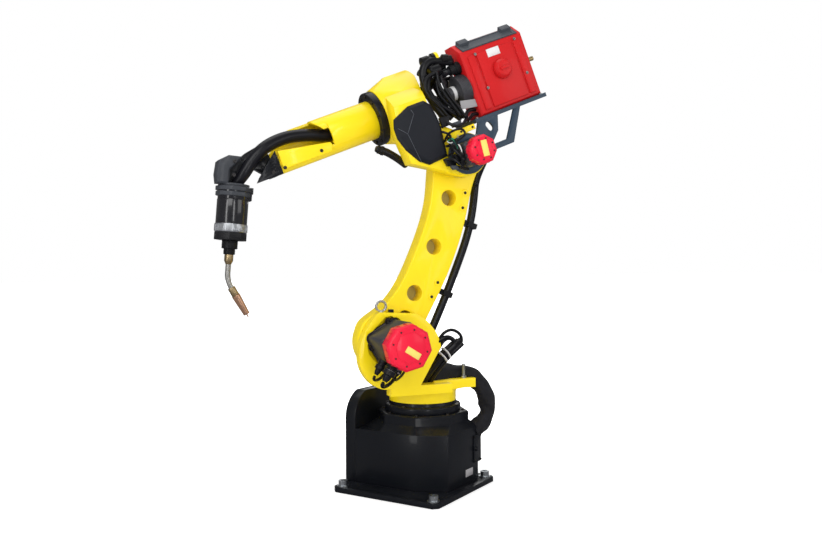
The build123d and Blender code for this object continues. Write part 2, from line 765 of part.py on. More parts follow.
with BuildPart() as feeder_knob:
    with BuildSketch(elbow_plane(feeder_near + panel_raise)):
        with Locations((knob_x, knob_up)):
            Circle(knob_ring)
    extrude(amount=-knob_deep)
    with BuildSketch(elbow_plane(feeder_near + panel_raise + knob_deep)):
        with Locations((knob_x, knob_up)):
            Circle(knob_ring)
    with BuildSketch(elbow_plane(feeder_near + panel_raise + 2 * knob_deep)):
        with Locations((knob_x, knob_up)):
            Circle(knob_radius)
    loft()
finish(feeder_knob.part, "feeder_knob")

# Drive motor and torch outlet on the feeder's front
drive_radius = 46.0
drive_long = 34.0
drive_up = 180.0
drive_y = 106.0
drive_motor_radius = 21.0
drive_motor_long = 34.0
outlet_radius = 15.0
outlet_foot_radius = 18.75
outlet_gap = 1.25
outlet_up = drive_up + drive_radius + outlet_gap + outlet_foot_radius
outlet_y = 112.0
outlet_long = 34.0
with BuildPart() as feeder_motor:
    with BuildSketch(feeder_across(-feeder_front)):
        with Locations((drive_y, drive_up)):
            Circle(drive_radius)
    extrude(amount=drive_long)
    with BuildSketch(feeder_across(drive_long - feeder_front)):
        with Locations((drive_y, drive_up)):
            Circle(drive_motor_radius)
    extrude(amount=drive_motor_long)
finish(feeder_motor.part, "feeder_motor")

with BuildPart() as feeder_outlet:
    with BuildSketch(feeder_across(-feeder_front)):
        with Locations((outlet_y, outlet_up)):
            Circle(outlet_foot_radius)
    extrude(amount=outlet_long / 2)
    with BuildSketch(feeder_across(outlet_long / 2 - feeder_front)):
        with Locations((outlet_y, outlet_up)):
            Circle(outlet_radius)
    extrude(amount=outlet_long / 2)
finish(feeder_outlet.part, "feeder_outlet")

inlet_radius = 7.0
inlet_long = 36.0
inlet_bore = 3.0
with BuildPart() as wire_inlet:
    with BuildSketch(feeder_across(-feeder_rear - inlet_long)):
        with Locations((drive_y, knob_up)):
            Circle(inlet_radius)
            Circle(inlet_bore, mode=Mode.SUBTRACT)
    extrude(amount=inlet_long)
    with BuildSketch(feeder_across(-feeder_rear - inlet_long / 4)):
        with Locations((drive_y, knob_up)):
            Circle(2 * inlet_radius)
            Circle(inlet_bore, mode=Mode.SUBTRACT)
    extrude(amount=inlet_long / 4)
finish(wire_inlet.part, "wire_inlet")

# Forearm: hollow tube cut open on the near side, with a flat side plate
fore_wall = 8.0
tube_start = box_front + collar_long + seat_gap
tube_end = 338.0
seam_low = 514.0
seam_rise = 10.0
seam_back = 78.0
open_reach = 172.0
open_shares = [(0.0, -0.53), (0.02, 0.0), (0.07, 0.31), (0.20, 0.76), (0.24, 1.3), (1.1, 1.3), (1.1, 0.17), (0.99, 0.17)]
open_far = -14.0
side_flat = 46.0
side_plate_thick = 4.0
side_plate_shares = [(0.10, -0.80), (0.04, -0.52), (0.06, -0.36), (0.12, -0.32), (0.97, 0.12), (0.985, -0.72), (0.96, -0.80)]


def seam_cut(sign):
    """Corner points of everything beyond (sign 1) or before (sign -1) the seam between tube and wrist link."""
    far = seam_low + sign * 2 * open_reach
    return [(seam_low, elbow_rise - 2 * fore_radius), (seam_low, elbow_rise - fore_radius),
            (seam_low - seam_rise / 2, elbow_rise + seam_rise), (seam_low - seam_back, elbow_rise + fore_radius),
            (seam_low - seam_back, elbow_rise + 2 * fore_radius), (far, elbow_rise + 2 * fore_radius),
            (far, elbow_rise - 2 * fore_radius)]


def open_outline(shares):
    return [(tube_end + x, elbow_rise + y) for x, y in spread(shares, open_reach, fore_radius)]


with BuildPart() as forearm_tube:
    with BuildSketch(forearm_plane(tube_start)):
        Circle(fore_radius)
    extrude(amount=seam_low - tube_start)
    with BuildSketch(forearm_plane(tube_start - overrun)):
        Circle(fore_radius - fore_wall)
    extrude(amount=seam_low - tube_start + 2 * overrun, mode=Mode.SUBTRACT)
    with BuildSketch(elbow_plane(2 * fore_radius)):
        with BuildLine():
            Polyline(*open_outline(open_shares), close=True)
        make_face()
    extrude(amount=2 * fore_radius - open_far, mode=Mode.SUBTRACT)
    with BuildSketch(elbow_plane(2 * fore_radius)):
        with BuildLine():
            Polyline(*seam_cut(1), close=True)
        make_face()
    extrude(amount=4 * fore_radius, mode=Mode.SUBTRACT)
    with BuildSketch(elbow_plane(2 * fore_radius)):
        with Locations((tube_end + open_reach / 2, elbow_rise)):
            Rectangle(open_reach, 4 * fore_radius)
    extrude(amount=2 * fore_radius - side_flat, mode=Mode.SUBTRACT)
finish(forearm_tube.part, "forearm_tube")

with BuildPart() as forearm_side_plate:
    with BuildSketch(elbow_plane(side_flat + side_plate_thick)):
        with BuildLine():
            Polyline(*open_outline(side_plate_shares), close=True)
        make_face()
    extrude(amount=side_plate_thick)
    with BuildSketch(elbow_plane(side_flat + side_plate_thick)):
        with BuildLine():
            Polyline(*seam_cut(1), close=True)
        make_face()
    extrude(amount=side_plate_thick, mode=Mode.SUBTRACT)
finish(forearm_side_plate.part, "forearm_side_plate")

# Black wrist link: carries the wrist on its far side and leaves the near side open for the hose
link_far = 52.0
link_inner = 26.0
link_near = 58.0
link_plate = 6.0
link_end_radius = 36.0
link_reach = 114.0
link_floor_long = 20.0
link_floor_thick = 28.0
link_far_shares = [(0.0, -1.0), (0.30, -0.69), (0.47, -0.29), (0.70, -0.14), (0.70, 0.52), (0.56, 0.62), (0.28, 0.72),
                   (0.0, 0.17)]
link_near_shares = [(0.0, -1.0), (0.72, -1.0), (0.62, -0.80), (0.0, 0.17)]
vent_count = 4
vent_long = 17.0
vent_high = 4.0
vent_deep = 2.5
vent_pitch = 8.5
vent_start = 0.55


def link_outline(shares):
    return [(seam_low + x, elbow_rise + y) for x, y in spread(shares, link_reach, fore_radius)]


with BuildPart() as wrist_link:
    with BuildSketch(elbow_plane(-link_inner)):
        with BuildLine():
            Polyline(*link_outline(link_far_shares), close=True)
        make_face()
        with Locations((fore_link, elbow_rise)):
            Circle(link_end_radius)
    extrude(amount=link_far - link_inner)
    with BuildSketch(elbow_plane(link_near)):
        with Locations((seam_low + link_floor_long / 2, elbow_rise - fore_radius + link_floor_thick / 2)):
            Rectangle(link_floor_long, link_floor_thick)
    extrude(amount=link_near + link_far)
    with BuildSketch(elbow_plane(link_near)):
        with BuildLine():
            Polyline(*link_outline(link_near_shares), close=True)
        make_face()
    extrude(amount=link_plate)
    with BuildSketch(elbow_plane(link_near)):
        with Locations((seam_low + link_floor_long, elbow_rise - fore_radius * vent_start)):
            with GridLocations(0, vent_pitch, 1, vent_count):
                Rectangle(vent_long, vent_high)
    extrude(amount=vent_deep, mode=Mode.SUBTRACT)
finish(wrist_link.part, "wrist_link")

# Wrist housing round the fifth axis: hub on the far side, block in front of the hose, foot ring for the torch
wrist_size = 60.0
wrist_near = 38.0
wrist_hub_far = link_inner - seat_gap
wrist_hub_near = 17.0
wrist_hub_radius = 36.0
wrist_foot = 47.0
wrist_foot_thick = 6.0
wrist_foot_radius = 44.0
wrist_bore = 19.0
wrist_bevel = 4.0
wrist_shares = [(-0.20, 0.60), (0.42, 0.60), (0.90, 0.30), (0.95, -0.30), (0.88, -0.72), (0.34, -0.72), (0.32, -0.05),
                (-0.13, 0.47)]
with BuildPart() as wrist_housing:
    with BuildSketch(side_plane(wrist_x, wrist_z, wrist_near, torch_tilt)):
        with BuildLine():
            Polyline(*spread(wrist_shares, wrist_size, wrist_size), close=True)
        make_face()
    extrude(amount=wrist_near + wrist_hub_near)
    chamfer(wrist_housing.faces().sort_by(Axis.Y)[-1].edges(), wrist_bevel)
    with BuildSketch(side_plane(wrist_x, wrist_z, -wrist_hub_near, torch_tilt)):
        Circle(wrist_hub_radius)
    extrude(amount=wrist_hub_far - wrist_hub_near)
    with BuildSketch(torch_plane(wrist_foot - wrist_foot_thick)):
        Circle(wrist_foot_radius)
    extrude(amount=wrist_foot_thick)
    with BuildSketch(torch_plane(0)):
        Circle(wrist_bore)
    extrude(amount=wrist_foot + overrun, mode=Mode.SUBTRACT)
finish(wrist_housing.part, "wrist_housing")

# Torch from the clamp down to the wire tip
clamp_top = wrist_foot + seat_gap
clamp_low = 85.0
clamp_radius = 46.0
clamp_upper = 18.0
clamp_step = 3.0
clamp_slot = 4.0
lug_out = 8.0
lug_half = 14.0
body_low = 154.0
body_radius = 44.0
ring_low_down = 178.0
torch_ring_radius = 46.0
lower_clamp_low = 200.0
lower_clamp_radius = 42.0
lower_clamp_turn = 12.0
ring_lip = 3.0
connector_low = 240.0
connector_radius = 22.0
connector_step = 224.0
connector_small = 16.0
brass_low = 268.0
brass_radius = 12.5
brass_step = 258.0
neck_radius_small = 7.5
torch_bore = 16.3


def torch_stack(steps, name, bore=0.0):
    """Round piece along the sixth axis from (start, end, first radius, last radius) steps."""
    with BuildPart() as stack:
        for start, end, first, last in steps:
            with BuildSketch(torch_plane(start)):
                Circle(first)
            with BuildSketch(torch_plane(end)):
                Circle(last)
            loft()
        if bore:
            with BuildSketch(torch_plane(steps[0][0] - overrun)):
                Circle(bore)
            extrude(amount=steps[-1][1] - steps[0][0] + 2 * overrun, mode=Mode.SUBTRACT)
    finish(stack.part, name)


with BuildPart() as torch_clamp:
    with BuildSketch(torch_plane(clamp_top)):
        Circle(clamp_radius)
        with Locations((-clamp_radius, 0)):
            Rectangle(2 * lug_out, 2 * lug_half)
        Circle(torch_bore, mode=Mode.SUBTRACT)
    extrude(amount=clamp_upper)
    with BuildSketch(torch_plane(clamp_top + clamp_upper)):
        Circle(clamp_radius - clamp_step)
        with Locations((-clamp_radius + clamp_step, 0)):
            Rectangle(2 * lug_out, 2 * lug_half)
        Circle(torch_bore, mode=Mode.SUBTRACT)
    extrude(amount=clamp_low - clamp_top - clamp_upper)
    with BuildSketch(torch_plane(clamp_top)):
        with Locations((-clamp_radius - lug_out / 2, 0)):
            Rectangle(2 * lug_out, clamp_slot)
    extrude(amount=clamp_low - clamp_top, mode=Mode.SUBTRACT)
finish(torch_clamp.part, "torch_clamp")

torch_stack([(clamp_low, body_low, body_radius, body_radius)], "torch_body")
torch_stack([(body_low, ring_low_down - ring_lip, torch_ring_radius, torch_ring_radius),
             (ring_low_down - ring_lip, ring_low_down, torch_ring_radius, body_radius)], "torch_ring")
with BuildPart() as torch_lower_clamp:
    with BuildSketch(torch_plane(ring_low_down)):
        RegularPolygon(lower_clamp_radius, 8, major_radius=False, rotation=lower_clamp_turn)
    extrude(amount=lower_clamp_low - ring_low_down)
finish(torch_lower_clamp.part, "torch_lower_clamp")
torch_stack([(lower_clamp_low, connector_step, connector_radius, connector_radius),
             (connector_step, connector_low, connector_small, connector_small)], "torch_connector")
torch_stack([(connector_low, brass_step, brass_radius, brass_radius),
             (brass_step, brass_low, brass_radius, neck_radius_small + seat_gap)], "neck_sleeve")

# Bent torch neck, nozzle and wire tip, drawn in the arm's plane beside the sixth axis
neck_straight = 24.0
neck_bend = 74.0
neck_angle = 34.0
holder_long = 26.0
holder_radius = 11.0
nozzle_long = 62.0
nozzle_radius = 12.5
nozzle_mouth = 9.0
nozzle_wall = 2.0
tip_radius = 2.0
tip_out = 9.0

with BuildPart() as torch_neck:
    with BuildLine(side_plane(wrist_x, wrist_z, 0, torch_tilt)) as neck_route:
        drop = Line((0, -brass_low), (0, -brass_low - neck_straight))
        bend = JernArc(drop @ 1, (0, -1), neck_bend, -neck_angle)
    with BuildSketch(torch_plane(brass_low)):
        Circle(neck_radius_small)
    sweep()
finish(torch_neck.part, "torch_neck")

neck_end = Plane(origin=neck_route.line @ 1, x_dir=(0, 1, 0), z_dir=neck_route.line % 1)

with BuildPart() as nozzle_holder:
    with BuildSketch(neck_end):
        Circle(holder_radius)
    extrude(amount=holder_long)
finish(nozzle_holder.part, "nozzle_holder")

with BuildPart() as nozzle:
    with BuildSketch(neck_end.offset(holder_long)):
        Circle(nozzle_radius)
    with BuildSketch(neck_end.offset(holder_long + nozzle_long)):
        Circle(nozzle_mouth)
    loft()
    with BuildSketch(neck_end.offset(holder_long)):
        Circle(nozzle_radius - nozzle_wall)
    with BuildSketch(neck_end.offset(holder_long + nozzle_long)):
        Circle(nozzle_mouth - nozzle_wall)
    loft(mode=Mode.SUBTRACT)
finish(nozzle.part, "nozzle")

with BuildPart() as contact_tip:
    with BuildSketch(neck_end.offset(holder_long)):
        Circle(tip_radius)
    extrude(amount=nozzle_long + tip_out)
finish(contact_tip.part, "contact_tip")

# Soft parts: torch hose, harness sleeve, cable loops and the bridges at the joints
hose_radius = 16.0
hose_route = [(352.0, 195.0), (385.0, 209.0), (430.0, 222.0), (485.0, 224.0), (540.0, 214.0),
              (592.0, 201.0), (630.0, 182.0)]
hose_end_down = wrist_foot + 8.0


def cord(points, radius, name, ends=(), fitting=None):
    """A plain round cord through hand-placed points, cut square where it enters a fitting."""
    with BuildPart() as strand:
        with BuildLine() as way:
            Spline(*points, tangents=ends)
        with BuildSketch(Plane(origin=way.line @ 0, z_dir=way.line % 0)):
            Circle(radius)
        sweep()
        if fitting:
            add(fitting.part, mode=Mode.SUBTRACT)
    finish(strand.part, name)


def at_elbow(points, y):
    places = [in_elbow(*point) for point in points]
    return [(x, y, z) for x, z in places]


hose_end = torch_plane(hose_end_down).origin
cord(at_elbow(hose_route, 0) + [hose_end], hose_radius, "torch_hose",
     ends=(forearm_plane(tube_end).z_dir, torch_plane(0).z_dir))

sleeve_radius = 24.0
sleeve_route = [(-58.5, 18.0, 346.0), (-92.0, 21.0, 358.0), (-125.0, 25.0, 362.0), (-172.0, 36.0, 340.0),
                (-199.0, 50.0, 282.0), (-201.0, 58.0, 240.0), (-182.0, 60.0, 205.0)]
cord(sleeve_route, sleeve_radius, "harness_sleeve")

loop_radius = 6.0
loop_route = [(-14.3, 112.0, 436.0), (-26.0, 112.0, 464.0), (-52.0, 112.0, 480.0), (-80.0, 112.0, 452.0),
              (-66.0, 112.0, 420.0), (-26.0, 110.0, 376.0), (30.0, 106.0, 334.0)]
cord(loop_route, loop_radius, "turret_cables")

bridge_start = conduit_route.line @ 0 - (conduit_route.line % 0) * soft_gap
shoulder_bridge_route = [bridge_start, (-14.0, 58.0, 430.0), (-8.0, 60.0, 390.0), (6.0, 50.0, 352.0)]
cord(shoulder_bridge_route, conduit_radius, "shoulder_cable_bridge", ends=(-(conduit_route.line % 0), (0, 0, -1)))

bridge_top = conduit_route.line @ 1 + (conduit_route.line % 1) * soft_gap
bridge_out = 104.0
bridge_out_y = 70.0
bridge_out_up = 8.0
bridge_in = 92.0
bridge_in_y = 104.0
bridge_in_up = 56.0
elbow_bridge_route = [bridge_top, (elbow_x - bridge_out, bridge_out_y, elbow_z + bridge_out_up),
                      (elbow_x - bridge_in, bridge_in_y, elbow_z + bridge_in_up)]
cord(elbow_bridge_route, conduit_radius, "elbow_cable_bridge", ends=(conduit_route.line % 1, (0.2, 1, 0.6)))

feeder_hose_radius = 11.0


def in_elbow_space(points):
    """World places of (forward, across, up) points of the elbow."""
    places = []
    for forward, across, up in points:
        x, z = in_elbow(forward, up)
        places.append((x, across, z))
    return places


outlet_end = outlet_long - feeder_front
hose_lead = 8.0
torch_cable_route = [(outlet_end + soft_gap, outlet_y, outlet_up), (outlet_end + hose_lead, outlet_y, outlet_up),
                     (-36.0, 104.0, 245.0), (-16.0, 66.0, 234.0), (2.0, 26.0, 212.0), (22.0, 6.0, 199.0),
                     (44.0, 0.0, elbow_rise)]
cord(in_elbow_space(torch_cable_route), feeder_hose_radius, "feeder_hose", fitting=feeder_outlet)
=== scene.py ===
import json
from math import cos, pi, radians, sin, tau

import bmesh
import bpy
from bpy.props import FloatProperty, FloatVectorProperty, IntProperty, PointerProperty
from mathutils import Matrix, Vector, noise


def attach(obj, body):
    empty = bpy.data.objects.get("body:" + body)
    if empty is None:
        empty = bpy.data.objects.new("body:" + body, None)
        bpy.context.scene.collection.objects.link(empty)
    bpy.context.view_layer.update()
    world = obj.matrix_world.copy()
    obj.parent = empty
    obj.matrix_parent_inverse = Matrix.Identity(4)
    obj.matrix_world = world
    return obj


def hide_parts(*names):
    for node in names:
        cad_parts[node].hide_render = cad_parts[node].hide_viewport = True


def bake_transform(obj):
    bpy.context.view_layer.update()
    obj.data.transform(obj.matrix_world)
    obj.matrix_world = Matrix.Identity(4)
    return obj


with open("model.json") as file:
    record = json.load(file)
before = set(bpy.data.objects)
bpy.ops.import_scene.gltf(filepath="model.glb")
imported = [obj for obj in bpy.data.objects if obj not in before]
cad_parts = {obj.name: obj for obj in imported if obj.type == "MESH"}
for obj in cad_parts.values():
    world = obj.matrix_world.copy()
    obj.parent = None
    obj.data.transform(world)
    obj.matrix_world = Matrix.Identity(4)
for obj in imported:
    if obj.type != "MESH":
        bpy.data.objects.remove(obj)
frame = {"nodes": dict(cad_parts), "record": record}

bl_info = {
    "name": "Arc Welding Robot Arm Dresser",
    "version": (1, 0, 0),
    "blender": (4, 5, 0),
    "location": "3D View > Sidebar > Robot Arm",
    "description": "Dresses the packed robot arm: paint, screws, cables, sleeve, hoses, plates and stage",
    "category": "Object",
}

NODES = frame["nodes"]
BODY_OF = {node: body for body, nodes in frame["record"]["behaviour"]["bodies"].items() for node in nodes}
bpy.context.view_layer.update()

# The kinematic chain in millimetres and degrees, as in the part's source
BASE_TURN, ARM_LEAN, FORE_DIP, TORCH_TILT = 36.5, 23.0, 22.0, 4.5
SHOULDER = Vector((150.0, 0.0, 450.0))
UPPER_LINK, ELBOW_RISE, FORE_LINK = 600.0, 195.0, 628.0


def mm(x, y, z):
    """A point given in millimetres, in metres."""
    return Vector((x, y, z)) * 0.001


def frame_way(degrees):
    """Forward and up directions of a link that is turned about the arm's cross axis."""
    turn = radians(degrees)
    return Vector((cos(turn), 0, sin(turn))), Vector((-sin(turn), 0, cos(turn)))


ARM_AHEAD, ARM_UP = frame_way(ARM_LEAN)
ELBOW = SHOULDER + ARM_UP * UPPER_LINK
FORE_AHEAD, FORE_UP = frame_way(-FORE_DIP)
WRIST = ELBOW + FORE_AHEAD * FORE_LINK + FORE_UP * ELBOW_RISE
TORCH_AHEAD, TORCH_UP = frame_way(TORCH_TILT)
BASE_AHEAD = Vector((cos(radians(BASE_TURN)), sin(radians(BASE_TURN)), 0))
BASE_LEFT = Vector((-sin(radians(BASE_TURN)), cos(radians(BASE_TURN)), 0))
NEAR = Vector((0, 1, 0))
UP = Vector((0, 0, 1))


def on_base(ahead, left, up):
    return (BASE_AHEAD * ahead + BASE_LEFT * left + UP * up) * 0.001


def on_turret(ahead, up, near):
    """A point from the second axis, in the turret's own directions."""
    return (SHOULDER + Vector((ahead, near, up))) * 0.001


def on_arm(ahead, up, near):
    return (SHOULDER + ARM_AHEAD * ahead + ARM_UP * up + NEAR * near) * 0.001


def on_elbow(ahead, up, near):
    return (ELBOW + FORE_AHEAD * ahead + FORE_UP * up + NEAR * near) * 0.001


def on_torch(ahead, down, near):
    return (WRIST + TORCH_AHEAD * ahead - TORCH_UP * down + NEAR * near) * 0.001


# Settings that a user may change


class ARM_PG_paint(bpy.types.PropertyGroup):
    """Colours of the painted and moulded surfaces."""

    yellow: FloatVectorProperty(name="Arm yellow", description="Gloss enamel of turret, arm and forearm",
                                subtype="COLOR", size=3, min=0, max=1, default=(0.98, 0.74, 0.006))
    slate: FloatVectorProperty(name="Base slate", description="Dark enamel of base and wrist",
                               subtype="COLOR", size=3, min=0, max=1, default=(0.006, 0.007, 0.010))
    cap_red: FloatVectorProperty(name="Cap red", description="Moulded motor caps",
                                 subtype="COLOR", size=3, min=0, max=1, default=(0.82, 0.004, 0.038))
    feeder_red: FloatVectorProperty(name="Feeder red", description="Wire feeder shell",
                                    subtype="COLOR", size=3, min=0, max=1, default=(0.60, 0.010, 0.012))
    tray_blue: FloatVectorProperty(name="Tray slate blue", description="Folded sheet of tray and strut",
                                   subtype="COLOR", size=3, min=0, max=1, default=(0.020, 0.046, 0.080))


class ARM_PG_wear(bpy.types.PropertyGroup):
    """How old the machine looks."""

    edge: FloatProperty(name="Edge wear", description="Share of paint that is rubbed at edges",
                        subtype="FACTOR", min=0, max=1, default=0.35)
    dust: FloatProperty(name="Dust", description="Share of pale dust on upward faces",
                        subtype="FACTOR", min=0, max=1, default=0.25)


class ARM_PG_fasteners(bpy.types.PropertyGroup):
    """Sizes of bolts and screws."""

    anchor_head: FloatProperty(name="Anchor head", description="Head radius of the floor bolts",
                               unit="LENGTH", min=0.005, max=0.03, default=0.0135)
    anchor_height: FloatProperty(name="Anchor height", description="Head height of the floor bolts",
                                 unit="LENGTH", min=0.005, max=0.03, default=0.017)
    screw_head: FloatProperty(name="Screw head", description="Head radius of the common socket screws",
                              unit="LENGTH", min=0.001, max=0.02, default=0.0045)
    screw_height: FloatProperty(name="Screw height", description="Head height of the common socket screws",
                                unit="LENGTH", min=0.001, max=0.02, default=0.004)
    sides: IntProperty(name="Head sides", description="Facets round a screw head", min=8, max=48, default=20)


class ARM_PG_lines(bpy.types.PropertyGroup):
    """Hoses, cables and cloth."""

    hose: FloatProperty(name="Torch hose", description="Radius of the torch hose", unit="LENGTH",
                        min=0.005, max=0.03, default=0.0185)
    feeder_hose: FloatProperty(name="Feeder hose", description="Radius of the wire feeder's hose",
                               unit="LENGTH", min=0.005, max=0.03, default=0.0112)
    stub_hose: FloatProperty(name="Short hose", description="Radius of the short hose below the elbow",
                             unit="LENGTH", min=0.005, max=0.03, default=0.0115)
    conduit: FloatProperty(name="Conduit", description="Radius of the conduit and its two bridges",
                           unit="LENGTH", min=0.005, max=0.03, default=0.0122)
    sleeve: FloatProperty(name="Canvas sleeve", description="Radius of the sleeve behind the turret",
                          unit="LENGTH", min=0.01, max=0.04, default=0.0265)
    cable: FloatProperty(name="Cable", description="Radius of the common control cable", unit="LENGTH",
                         min=0.001, max=0.01, default=0.0045)
    fold: FloatProperty(name="Cloth folds", description="Depth of the folds in the canvas", unit="LENGTH",
                        min=0, max=0.01, default=0.0035)


class ARM_PG_stage(bpy.types.PropertyGroup):
    """Camera and floor."""

    camera_place: FloatVectorProperty(name="Camera place", description="Where the photographer stands",
                                      subtype="TRANSLATION", size=3, default=(0.961, 2.3566, 0.6846))
    camera_aim: FloatVectorProperty(name="Camera aim", description="Point that the camera looks at",
                                    subtype="TRANSLATION", size=3, default=(0.0361, 0.0, 0.6591))
    camera_roll: FloatProperty(name="Camera roll", description="Turn about the view axis in degrees",
                               min=-10, max=10, default=-0.37)
    floor_half: FloatProperty(name="Floor half width", description="Half the width of the floor",
                              unit="LENGTH", min=2, max=60, default=30.0)


def settings():
    return bpy.context.scene.robot_arm


# Mesh and placing helpers


def link_object(name, mesh):
    piece = bpy.data.objects.new(name, mesh)
    bpy.context.scene.collection.objects.link(piece)
    return piece


def mesh_piece(name, points, faces, finish):
    """A plain flat-shaded mesh from points in metres and faces, with its normals turned outwards."""
    mesh = bpy.data.meshes.new(name)
    mesh.from_pydata([tuple(point) for point in points], [], faces)
    body = bmesh.new()
    body.from_mesh(mesh)
    bmesh.ops.remove_doubles(body, verts=body.verts, dist=1e-6)
    bmesh.ops.recalc_face_normals(body, faces=body.faces)
    body.to_mesh(mesh)
    body.free()
    mesh.materials.append(finish)
    return link_object(name, mesh)


def join_meshes(name, pieces):
    """One object from several that share their materials' order."""
    body = bmesh.new()
    finishes = []
    for piece in pieces:
        own = [slot.material for slot in piece.material_slots]
        for finish in own:
            if finish not in finishes:
                finishes.append(finish)
        start = len(body.faces)
        body.from_mesh(piece.data)
        body.faces.ensure_lookup_table()
        for face in body.faces[start:]:
            face.material_index = finishes.index(own[face.material_index]) if own else 0
    mesh = bpy.data.meshes.new(name)
    body.to_mesh(mesh)
    body.free()
    for finish in finishes:
        mesh.materials.append(finish)
    for piece in pieces:
        bpy.data.objects.remove(piece)
    return link_object(name, mesh)


def bake_modifiers(piece):
    """Turns the evaluated object into a plain mesh and removes its modifiers."""
    graph = bpy.context.evaluated_depsgraph_get()
    graph.update()
    mesh = bpy.data.meshes.new_from_object(piece.evaluated_get(graph), preserve_all_data_layers=True,
                                           depsgraph=graph)
    finishes = [slot.material for slot in piece.material_slots]
    piece.modifiers.clear()
    piece.data = mesh
    if not [finish for finish in mesh.materials if finish]:
        mesh.materials.clear()
        for finish in finishes:
            mesh.materials.append(finish)
    return piece


def shade_by_angle(mesh, degrees):
    """Smooth faces with hard edges where two faces meet at more than the angle."""
    body = bmesh.new()
    body.from_mesh(mesh)
    limit = radians(degrees)
    for face in body.faces:
        face.smooth = True
    for edge in body.edges:
        edge.smooth = len(edge.link_faces) == 2 and edge.calc_face_angle(0) < limit
    body.to_mesh(mesh)
    body.free()


def soften(piece, width, segments=2, degrees=35):
    """A small rounded bevel along every hard edge, then smooth shading."""
    bevel = piece.modifiers.new("edges", "BEVEL")
    bevel.width = width
    bevel.segments = segments
    bevel.limit_method = "ANGLE"
    bevel.angle_limit = radians(degrees)
    bevel.use_clamp_overlap = True
    bake_modifiers(piece)
    shade_by_angle(piece.data, degrees)
    return piece


def settle(piece, body, slot_name, *nodes):
    """Rides a finished piece on its body and hides the nodes that it stands for; slot_name is not used."""
    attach(piece, body)
    if nodes:
        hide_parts(*nodes)
    return piece


def basis(way):
    """Two unit vectors across a direction."""
    way = Vector(way).normalized()
    side = UP if abs(way.z) < 0.9 else Vector((1, 0, 0))
    first = (side - way * side.dot(way)).normalized()
    return first, way.cross(first)


def lathe(name, profile, start, way, finish, sides):
    """A closed turned shape: profile of (along, radius) in millimetres from a point along a direction."""
    first, second = basis(way)
    way = Vector(way).normalized()
    points, faces = [], []
    for along, radius in profile:
        for k in range(sides):
            turn = tau * k / sides
            points.append(start + (way * along + (first * cos(turn) + second * sin(turn)) * radius) * 0.001)
    for ring in range(len(profile) - 1):
        for k in range(sides):
            a, b = ring * sides + k, ring * sides + (k + 1) % sides
            faces.append((a, b, b + sides, a + sides))
    faces.append(tuple(range(sides)))
    faces.append(tuple(range((len(profile) - 1) * sides, len(profile) * sides)))
    piece = mesh_piece(name, points, faces, finish)
    shade_by_angle(piece.data, 30)
    return piece


def slab(name, outline, place, depth, finish, bevel=0.0006):
    """A plate: outline points go through place(across, up, out) and are given depth in millimetres."""
    count = len(outline)
    points = [place(x, y, 0) for x, y in outline] + [place(x, y, depth) for x, y in outline]
    faces = [tuple(range(count)), tuple(range(count, 2 * count))]
    faces += [(k, (k + 1) % count, count + (k + 1) % count, count + k) for k in range(count)]
    piece = mesh_piece(name, points, faces, finish)
    return soften(piece, bevel) if bevel else piece


def prism(name, rings, finish, bevel):
    """A closed body through rings of points that all have the same count, ends included."""
    count = len(rings[0])
    points = [point for ring in rings for point in ring]
    faces = [tuple(range(count)), tuple(range(len(points) - count, len(points)))]
    for start in range(0, len(points) - count, count):
        faces += [(start + k, start + (k + 1) % count, start + count + (k + 1) % count, start + count + k)
                  for k in range(count)]
    return soften(mesh_piece(name, points, faces, finish), bevel)


def rounded(wide, high, radius, middle=(0, 0)):
    """Outline of a rectangle with round corners."""
    points, steps = [], 4
    for corner, (sx, sy) in enumerate(((1, 1), (-1, 1), (-1, -1), (1, -1))):
        for step in range(steps + 1):
            turn = pi / 2 * (corner + step / steps)
            points.append((middle[0] + sx * (wide / 2 - radius) + radius * cos(turn),
                           middle[1] + sy * (high / 2 - radius) + radius * sin(turn)))
    return points


def route(points):
    """The smooth line of a cable: points read from a NURBS spline with the route's points as controls."""
    curve = bpy.data.curves.new("route", "CURVE")
    curve.dimensions = "3D"
    curve.resolution_u = 10
    spline = curve.splines.new("NURBS")
    spline.points.add(len(points) - 1)
    for spot, point in zip(spline.points, points):
        spot.co = (*point, 1.0)
    spline.order_u = 3
    spline.use_endpoint_u = True
    holder = bpy.data.objects.new("route", curve)
    bpy.context.scene.collection.objects.link(holder)
    graph = bpy.context.evaluated_depsgraph_get()
    graph.update()
    line = bpy.data.meshes.new_from_object(holder.evaluated_get(graph))
    spots = [vertex.co.copy() for vertex in line.vertices]
    bpy.data.objects.remove(holder)
    bpy.data.curves.remove(curve)
    bpy.data.meshes.remove(line)
    return spots


